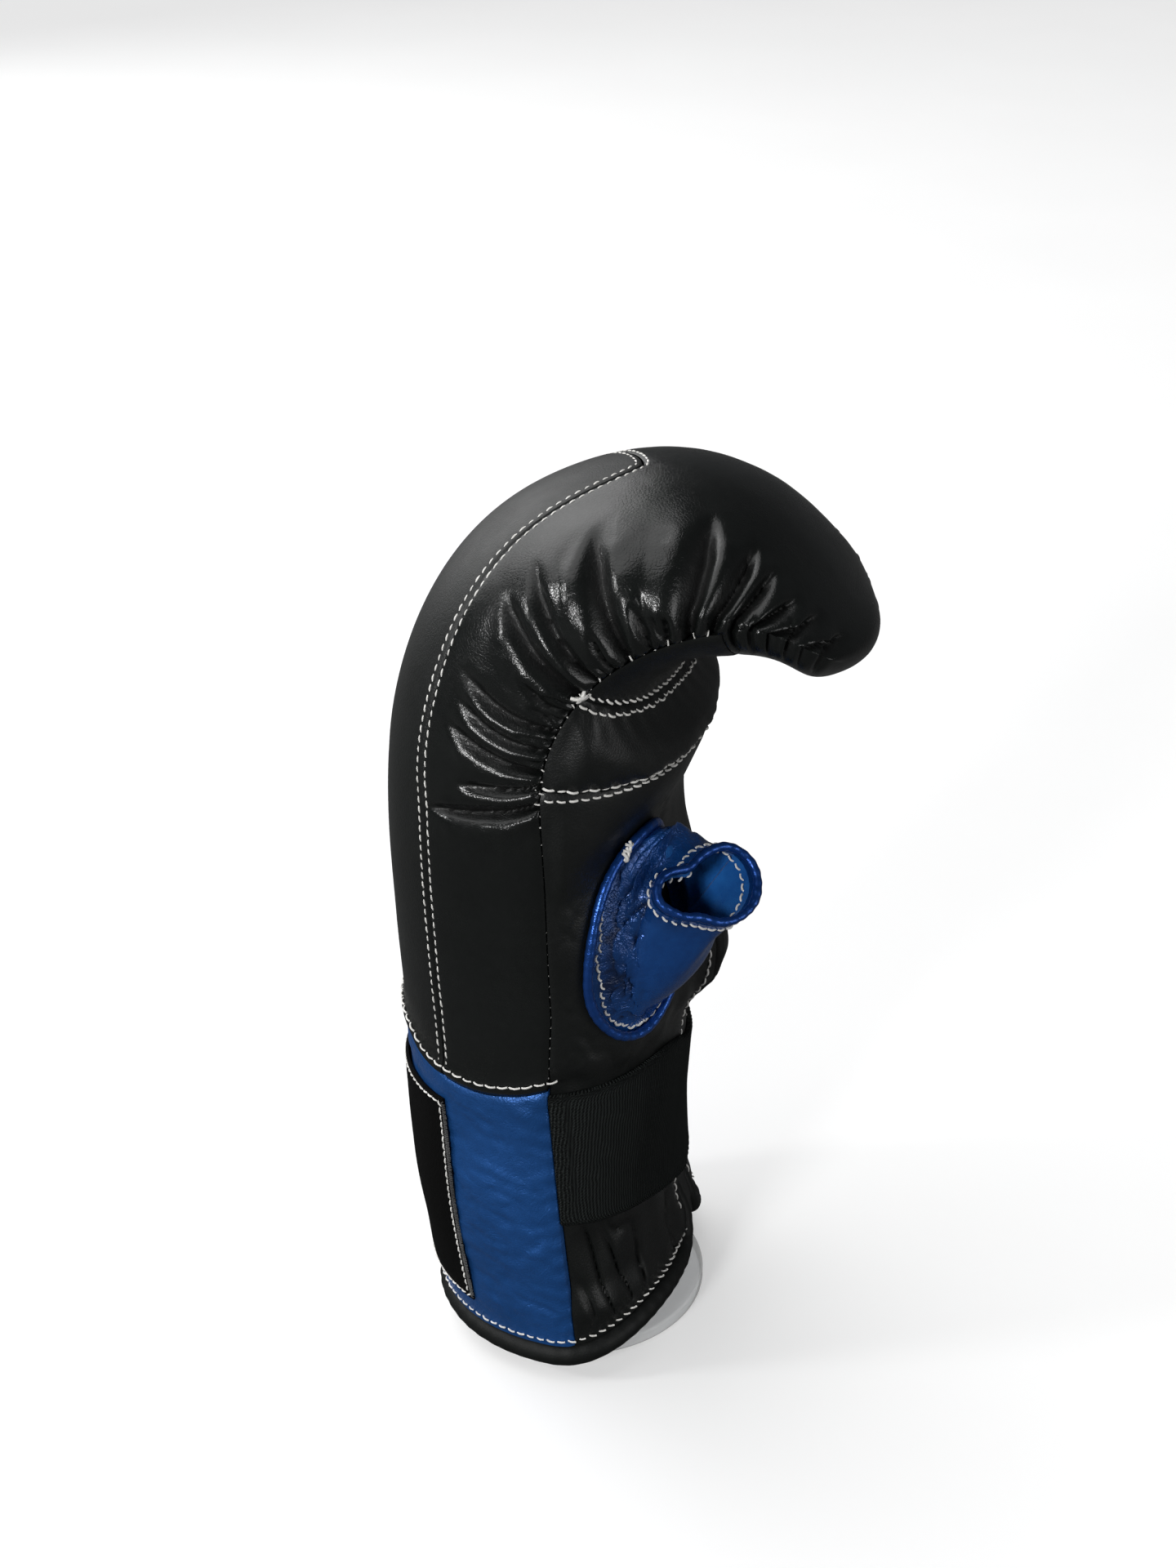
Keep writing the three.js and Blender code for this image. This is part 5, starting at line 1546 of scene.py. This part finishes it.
def spun(name, profile, count, nodes):
    """A closed ring, or a disc where the profile starts and ends on the axis."""
    profile = np.array(profile, float)
    turn = FULL_TURN * np.arange(count) / count
    points = []
    rings = []
    for radius, z in profile:
        if radius == 0:
            rings.append([len(points)] * count)
            points.append((0, 0, z))
        else:
            rings.append(list(range(len(points), len(points) + count)))
            points += [(radius * math.cos(a), radius * math.sin(a), z) for a in turn]
    if profile[0][0] > 0:
        rings.append(rings[0])
    faces = []
    for low, high in zip(rings, rings[1:]):
        for i in range(count):
            j = (i + 1) % count
            faces.append(list(dict.fromkeys([low[i], low[j], high[j], high[i]])))
    mesh = make_mesh(name, points, faces, sharp=35)
    return add_piece(mesh, [ACRYLIC], nodes)


edge_turn = np.linspace(0, math.pi / 2, 5)
lower_edge = [(DISC_RADIUS - DISC_EDGE + DISC_EDGE * math.sin(a), DISC_EDGE - DISC_EDGE * math.cos(a))
              for a in edge_turn]
upper_edge = [(r, DISC_THICKNESS - z) for r, z in reversed(lower_edge)]
spun("stand_disc", [(0, 0), *lower_edge, *upper_edge, (0, DISC_THICKNESS)], 160, ["stand_base"])
tube_low, tube_high = (np.array(corner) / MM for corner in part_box("stand_tube"))
TUBE_FOOT = tube_high[0]
TUBE_TOP = 20.0
TUBE_WALL = 3.0
spun("stand_post", [
    (TUBE_FOOT - TUBE_WALL, tube_low[2]), (TUBE_FOOT, tube_low[2]),
    (TUBE_TOP, tube_high[2]), (TUBE_TOP - TUBE_WALL, tube_high[2]),
], 120, ["stand_tube"])

# %% [markdown]
# Nearly every seam on the glove shows white thread, so one Geometry Nodes tree makes a stitch and
# lays it along any line: it spaces the stitches, turns each along the line with its back to the
# leather, and gives it a small seeded slant, as hand-fed stitches have.

# %% The stitch row tree
def make_stitch_row():
    tree = bpy.data.node_groups.new("Stitch row", "GeometryNodeTree")
    add_socket(tree, "Seam", "Geometry")
    for name, value in (("Pitch", 0.003), ("Stitch length", 0.0024), ("Thread", 0.0004), ("Arch", 0.0006),
                        ("Slant", 0.0), ("Stray", 0.12)):
        add_socket(tree, name, "Float", value)
    add_socket(tree, "Seed", "Int", 1)
    add_socket(tree, "Finish", "Material")
    add_socket(tree, "Stitches", "Geometry", way="OUTPUT")
    given = tree.nodes.new("NodeGroupInput").outputs
    result = tree.nodes.new("NodeGroupOutput")
    line = node(tree, "GeometryNodeMeshToCurve", {"Mesh": given["Seam"]})
    spaced = node(tree, "GeometryNodeResampleCurve", {
        "Curve": line.outputs["Curve"], "Length": given["Pitch"],
    }, mode="LENGTH")
    up = node(tree, "GeometryNodeInputNamedAttribute", {"Name": "up"}, data_type="FLOAT_VECTOR")
    tangent = node(tree, "GeometryNodeInputTangent")
    facing = node(tree, "FunctionNodeAxesToRotation", {
        "Primary Axis": up.outputs["Attribute"], "Secondary Axis": tangent.outputs["Tangent"],
    }, primary_axis="Z", secondary_axis="X")
    half = times(tree, given["Stitch length"], 0.5)
    sunk_in = times(tree, given["Arch"], -0.6)
    ends = [node(tree, "ShaderNodeCombineXYZ", {"X": times(tree, half, sign), "Z": sunk_in})
            for sign in (-1.0, 1.0)]
    top = node(tree, "ShaderNodeCombineXYZ", {"Z": times(tree, given["Arch"], 1.4)})
    bow = node(tree, "GeometryNodeCurveQuadraticBezier", {
        "Resolution": 6, "Start": ends[0].outputs[0], "Middle": top.outputs[0], "End": ends[1].outputs[0],
    })
    ring = node(tree, "GeometryNodeCurvePrimitiveCircle", {"Resolution": 7, "Radius": given["Thread"]})
    thread = node(tree, "GeometryNodeCurveToMesh", {
        "Curve": bow.outputs["Curve"], "Profile Curve": ring.outputs["Curve"], "Fill Caps": True,
    })
    stray = node(tree, "FunctionNodeRandomValue", {
        2: times(tree, given["Stray"], -1.0), 3: given["Stray"], "Seed": given["Seed"],
    }, data_type="FLOAT")
    angle = plus(tree, given["Slant"], stray.outputs[1])
    slanted = node(tree, "FunctionNodeRotateRotation", {"Rotation": facing.outputs["Rotation"]},
                   rotation_space="LOCAL")
    turn = node(tree, "FunctionNodeAxisAngleToRotation", {"Axis": (0, 0, 1), "Angle": angle})
    tree.links.new(turn.outputs["Rotation"], slanted.inputs["Rotate By"])
    other_seed = plus(tree, given["Seed"], 7.0)
    size = node(tree, "FunctionNodeRandomValue", {2: 0.88, 3: 1.1, "Seed": other_seed}, data_type="FLOAT")
    laid = node(tree, "GeometryNodeInstanceOnPoints", {
        "Points": spaced.outputs["Curve"], "Instance": thread.outputs["Mesh"],
        "Rotation": slanted.outputs["Rotation"], "Scale": size.outputs[1],
    })
    real = node(tree, "GeometryNodeRealizeInstances", {"Geometry": laid.outputs["Instances"]})
    soft = node(tree, "GeometryNodeSetShadeSmooth", {"Geometry": real.outputs["Geometry"]})
    finished = node(tree, "GeometryNodeSetMaterial", {
        "Geometry": soft.outputs["Geometry"], "Material": given["Finish"],
    })
    tree.links.new(finished.outputs["Geometry"], result.inputs["Stitches"])
    return tree


STITCH_ROW = make_stitch_row()
SOCKETS = {item.name: item.identifier for item in STITCH_ROW.interface.items_tree if item.in_out == "INPUT"}


# %% Laying a row of stitches
def stitch_row(name, line, up, seed, closed=False, **values):
    """Stitches along a line in millimetres, whose leather faces up."""
    count = len(line)
    edges = [(i, i + 1) for i in range(count - 1)]
    if closed:
        edges.append((count - 1, 0))
    mesh = bpy.data.meshes.new(name)
    mesh.from_pydata((line * MM).tolist(), edges, [])
    facing = mesh.attributes.new("up", "FLOAT_VECTOR", "POINT")
    facing.data.foreach_set("vector", unit(up).astype(np.float32).ravel())
    guide = put(name, mesh)
    row = guide.modifiers.new("Stitch row", "NODES")
    row.node_group = STITCH_ROW
    row[SOCKETS["Seed"]] = seed
    row[SOCKETS["Finish"]] = THREAD
    for label, value in values.items():
        row[SOCKETS[label.replace("_", " ").capitalize()]] = value
    made = bpy.data.meshes.new_from_object(guide.evaluated_get(bpy.context.evaluated_depsgraph_get()))
    bpy.data.objects.remove(guide)
    made.name = name
    return add_piece(made, list(made.materials) or [THREAD])


def beside(line, up, offset, lift):
    """A line moved sideways over the leather, and up from it."""
    along = np.gradient(line, axis=0)
    return line + unit(np.cross(up, along)) * offset + unit(up) * lift


# %% [markdown]
# The tongue is held by two rows, one on each side of its seam. Another row runs just above the
# wrist's turned edge, and small stitches show along both side seams.

# %% Rows on the back and sides
tongue_up = face_normal(tongue_s, tongue_a)
shown = tongue_s > 101
for side, offset in (("inner", 1.7), ("outer", -1.7)):
    row = beside(tongue_line, tongue_up, offset, -0.25)[shown]
    stitch_row(f"tongue_{side}_stitches", row, tongue_up[shown], seed=2 if offset > 0 else 3,
               pitch=0.0031, stitch_length=0.0025, thread=0.0003, arch=0.0005, slant=0.12)
HEM_ROW_TURN = 1.86  # radians from the middle of the back
HEM_ROW_RISE = 2.6
hem_turn = np.linspace(-HEM_ROW_TURN, HEM_ROW_TURN, 220)
hem_s = wrist_edge(np.abs(hem_turn)) + HEM_ROW_RISE
hem_line = face(hem_s, hem_turn)
hem_up = face_normal(hem_s, hem_turn)
stitch_row("hem_stitches", hem_line + hem_up * 0.95, hem_up, seed=4, pitch=0.0040, stitch_length=0.0031,
           thread=0.0003, arch=0.0006)
for sign, side in ((-1, "thumb"), (1, "outer")):
    for name, low, high, depth, length, slant in (("lower", 104, 186, 0.95, 0.0007, 0.0),
                                                  ("upper", 190, 274, 0.75, 0.0024, 1.35)):
        chosen = (seam_s > low) & (seam_s < high)
        up = face_normal(seam_s, sign * seam_a)[chosen]
        stitch_row(f"{side}_{name}_seam_stitches", side_lines[sign][chosen] - up * depth, up, seed=5 + sign,
                   pitch=0.0036, stitch_length=length, thread=0.00024, arch=0.0006, slant=slant, stray=0.4)

# %% Rows on the palm, the rim and the slit
palm_shares = np.linspace(0.02, 0.98, 300)


def band_row(name, band, s, seed):
    """A row across the grip bar or the finger panel, on its finished leather."""
    share = (s - band[0] - GAP / 2) / (band[1] - band[0] - GAP)
    outer, inner = band_grid(band, np.array([share]), palm_shares)
    lay_palm_row(name, outer[0], inner[0], seed)


def lay_palm_row(name, outer, inner, seed):
    up = unit(outer - inner)
    stitch_row(name, outer + up * 0.1, up, seed, pitch=0.0034, stitch_length=0.0028, thread=0.00036,
               arch=0.0007, stray=0.14)


below_outer, below_inner = palm_grid(np.array([GRIP_AT - 2.4]), palm_shares)
lay_palm_row("grip_low_stitches", below_outer[0], below_inner[0], 11)
band_row("bar_low_stitches", BAR, GRIP_AT + 1.7, 12)
band_row("bar_high_stitches", BAR, FINGERS_AT - 2.0, 13)
band_row("finger_low_stitches", FINGERS, FINGERS_AT + 2.0, 14)


RIM_ROW_RISE = 2.2


def rim_row():
    """A line just above the rim's roll, on the blue and on the black, and its outward directions."""
    turn = np.linspace(-math.pi - 0.25, math.pi - 0.75, 420)
    s = rim_rise(turn) + RIM_ROLL + RIM_ROW_RISE
    outer = section_point(s, outer_size(s), turn)
    return outer, unit((outer - [WRIST_X + 12, 0, 0]) * [1, 1, 0])


rim_line, rim_up = rim_row()
stitch_row("rim_stitches", rim_line + rim_up * 0.1, rim_up, seed=21, pitch=0.0034, stitch_length=0.0028,
           thread=0.0003, arch=0.0006, stray=0.2)
for sign, side in ((-1, "near"), (1, "far")):
    y = SLIT_Y + sign * (SLIT_EDGE + 2.0)
    s = np.linspace(SLIT_FOOT + 4, SLIT_END_Z, 150) - RIM_Z
    line = palm_face(y, s)
    up = palm_normal(y, s)
    stitch_row(f"slit_{side}_stitches", line + up * 0.1, up, seed=23 + sign, pitch=0.0036,
               stitch_length=0.0028, thread=0.00034, arch=0.0006)
LABEL_MARGIN = 1.6
label_low = LABEL_LOW + LABEL_MARGIN
label_high = LABEL_HIGH - LABEL_MARGIN
label_corners = np.array([(label_low, -1), (label_high, -1), (label_high, 1), (label_low, 1)])
label_edge = np.concatenate([np.linspace(a, b, 90, endpoint=False)
                             for a, b in zip(label_corners, np.roll(label_corners, -1, 0))])
label_turn = label_edge[:, 1] * (LABEL_HALF_TURN - LABEL_MARGIN / HALF_WIDTH)
label_line = label_point(label_edge[:, 0], label_turn, GAP + LABEL)
stitch_row("label_stitches", label_line, face_normal(label_edge[:, 0], label_turn), seed=27, closed=True,
           pitch=0.0026, stitch_length=0.0021, thread=0.0003, arch=0.00045)

# %% Rows on the thumb
FOOT_ROW = 4
MOUTH_ROW = 74
sewn_outer, sewn_inner = sleeve_grid(SLEEVE_ROWS, round_turn)[:2]


def sleeve_row(name, row, seed, **values):
    """A row round the sleeve, on its finished leather, at one of the grid's rows."""
    up = unit(sewn_outer[row] - sewn_inner[row])
    stitch_row(name, sewn_outer[row] + up * 0.15, up, seed, closed=True, **values)


sleeve_row("thumb_foot_stitches", FOOT_ROW, 31, pitch=0.0034, stitch_length=0.0027,
           thread=0.0004, arch=0.0007)
sleeve_row("thumb_mouth_stitches", MOUTH_ROW, 32, pitch=0.0032, stitch_length=0.0025,
           thread=0.00036, arch=0.0005)
# The mouth's row also shows on the suede, round the mouth's far side.
half_round = len(round_turn) // 2
far_side = slice(48, 205)
inner_line = np.roll(sewn_inner[MOUTH_ROW], half_round, axis=0)[far_side]
inner_up = np.roll(unit(sewn_inner[MOUTH_ROW] - sewn_outer[MOUTH_ROW]), half_round, axis=0)[far_side]
stitch_row("thumb_inner_stitches", inner_line + inner_up * 0.15, inner_up, 33, pitch=0.0032,
           stitch_length=0.0024, thread=0.00034, arch=0.0005)


TACK_LENGTH = 4.0


def tack(name, centre, along, up, seed):
    """A bar tack: a few long stitches laid close together and a little askew."""
    steps = np.linspace(-TACK_LENGTH / 2, TACK_LENGTH / 2, 12)
    stitch_row(name, centre + unit(along) * steps[:, None], np.tile(up, (12, 1)), seed, pitch=0.0009,
               stitch_length=0.0042, thread=0.0005, arch=0.001, slant=0.9, stray=0.9)


KNOT_AT = 119  # degrees round the thumb's oval
knot_turn = np.array([math.radians(KNOT_AT)])
knot_at = oval_point(knot_turn, -1.2, np.array([WELT * 2 + 0.5]))[0]
knot_up = palm_normal(*oval_place(knot_turn, SLEEVE_FOOT))[0]
tack("thumb_tack", knot_at, np.array([0.2, 0.5, 1.0]), knot_up, 41)
seam_place = np.array([FINGERS_AT + 1.0])
tack_turn = -seam_turn(outer_size(seam_place))
tack_at = face(seam_place, tack_turn)[0]
tack_up = face_normal(seam_place, tack_turn)[0]
tack("seam_tack", tack_at, np.array([0.3, 1.0, -0.2]), tack_up, 42)
overlock_turn = label_edge[:, 1] * (LABEL_HALF_TURN - 0.3 / HALF_WIDTH)
overlock = label_point(label_edge[:, 0], overlock_turn, GAP + LABEL * 0.7)
stitch_row("label_overlock", overlock, face_normal(label_edge[:, 0], label_turn), seed=43, closed=True,
           pitch=0.0007, stitch_length=0.0017, thread=0.0002, arch=0.0004, slant=1.45, finish=GREY_THREAD)

# %% [markdown]
# The photograph shows the glove on a white table in soft daylight. One wide source high on the left
# gives the soft shadow to the right. Two small ones on the left and in front put the narrow lights on
# the gathers, two wide ones on the right and behind light the edges, and a weak even sky fills the rest.
# The floor is bright to the camera, and darker to the light that it throws back on the leather, as
# a real table's far parts are in the shade of the room.

# %% Floor
def make_floor():
    material, tree, shader, place = new_material("pale_table")
    tone = effect(tree, UNEVEN_TONE, {
        "Vector": place.outputs["Object"], "Patches": 6.0, "Low": 0.57, "High": 0.59,
    })
    path = node(tree, "ShaderNodeLightPath")
    seen = node(tree, "ShaderNodeMix", {0: path.outputs["Is Camera Ray"], 2: 0.1, 3: tone.outputs["Value"]})
    colour = node(tree, "ShaderNodeCombineXYZ", {axis: seen.outputs[0] for axis in "XYZ"})
    glow = times(tree, path.outputs["Is Camera Ray"], 0.43)
    give(tree, shader, {
        "Base Color": colour.outputs[0], "Roughness": 0.85, "Specular IOR Level": 0.1,
        "Emission Color": (1, 1, 1, 1), "Emission Strength": glow,
    })
    return material


FLOOR_SIZE = 6.0
corners = [(-FLOOR_SIZE, -FLOOR_SIZE, 0), (FLOOR_SIZE, -FLOOR_SIZE, 0), (FLOOR_SIZE, FLOOR_SIZE, 0),
           (-FLOOR_SIZE, FLOOR_SIZE, 0)]
floor_mesh = bpy.data.meshes.new("table_top")
floor_mesh.from_pydata(corners, [], [(0, 1, 2, 3)])
floor_mesh.materials.append(make_floor())
floor = put("table_top", floor_mesh)


# %% Light
def lamp(name, kind, power, towards):
    """A light and its object, which faces along a direction."""
    light = bpy.data.lights.new(name, kind)
    light.energy = power
    made = put(name, light)
    made.rotation_euler = Vector(towards).to_track_quat("-Z", "Y").to_euler()
    return light, made


LIT_POINT = Vector((0.01, 0, 0.14))
sun, _ = lamp("high_window", "SUN", 1.8, (0.44, -0.1, -0.88))
sun.angle = math.radians(68)
for name, place, size, power in (
    ("side_window", (-1.6, -0.8, 1.0), 0.3, 12),
    ("front_lamp", (-0.35, -1.5, 0.75), 0.36, 16),
    ("far_window", (2.0, -0.5, 0.5), 1.2, 12),
    ("back_window", (-1.4, 1.1, 1.2), 2.2, 20),
):
    window, made = lamp(name, "AREA", power, LIT_POINT - Vector(place))
    window.shape = "DISK"
    window.size = size
    made.location = place
world = bpy.data.worlds.new("soft_sky")
world.use_nodes = True
sky = world.node_tree
seen_directly = node(sky, "ShaderNodeLightPath").outputs["Is Camera Ray"]
strength = node(sky, "ShaderNodeMath", {0: seen_directly, 1: 0.9, 2: 0.08}, operation="MULTIPLY_ADD")
give(sky, sky.nodes["Background"], {"Color": (0.95, 0.97, 1.0, 1), "Strength": strength.outputs[0]})
bpy.context.scene.world = world
bpy.context.scene.view_settings.view_transform = "Standard"

# %% [markdown]
# The camera stands a little above the glove, to the thumb's side, and looks down at it.

# %% Camera
AZIMUTH = math.radians(18)
PITCH = math.radians(26.9)
CAMERA_AT = (0.2041, -0.6119, 0.513)
camera_data = bpy.data.cameras.new("camera")
camera_data.lens = 54.375
camera_data.sensor_fit = "AUTO"
camera_data.sensor_width = 36
camera = put("camera", camera_data)
across = Vector((math.cos(AZIMUTH), math.sin(AZIMUTH), 0))
ahead = Vector((
    -math.sin(AZIMUTH) * math.cos(PITCH), math.cos(AZIMUTH) * math.cos(PITCH), -math.sin(PITCH),
))
above = across.cross(ahead)
camera.matrix_world = Matrix.Translation(CAMERA_AT) @ Matrix((
    (across.x, above.x, -ahead.x), (across.y, above.y, -ahead.y), (across.z, above.z, -ahead.z),
)).to_4x4()
bpy.context.scene.camera = camera
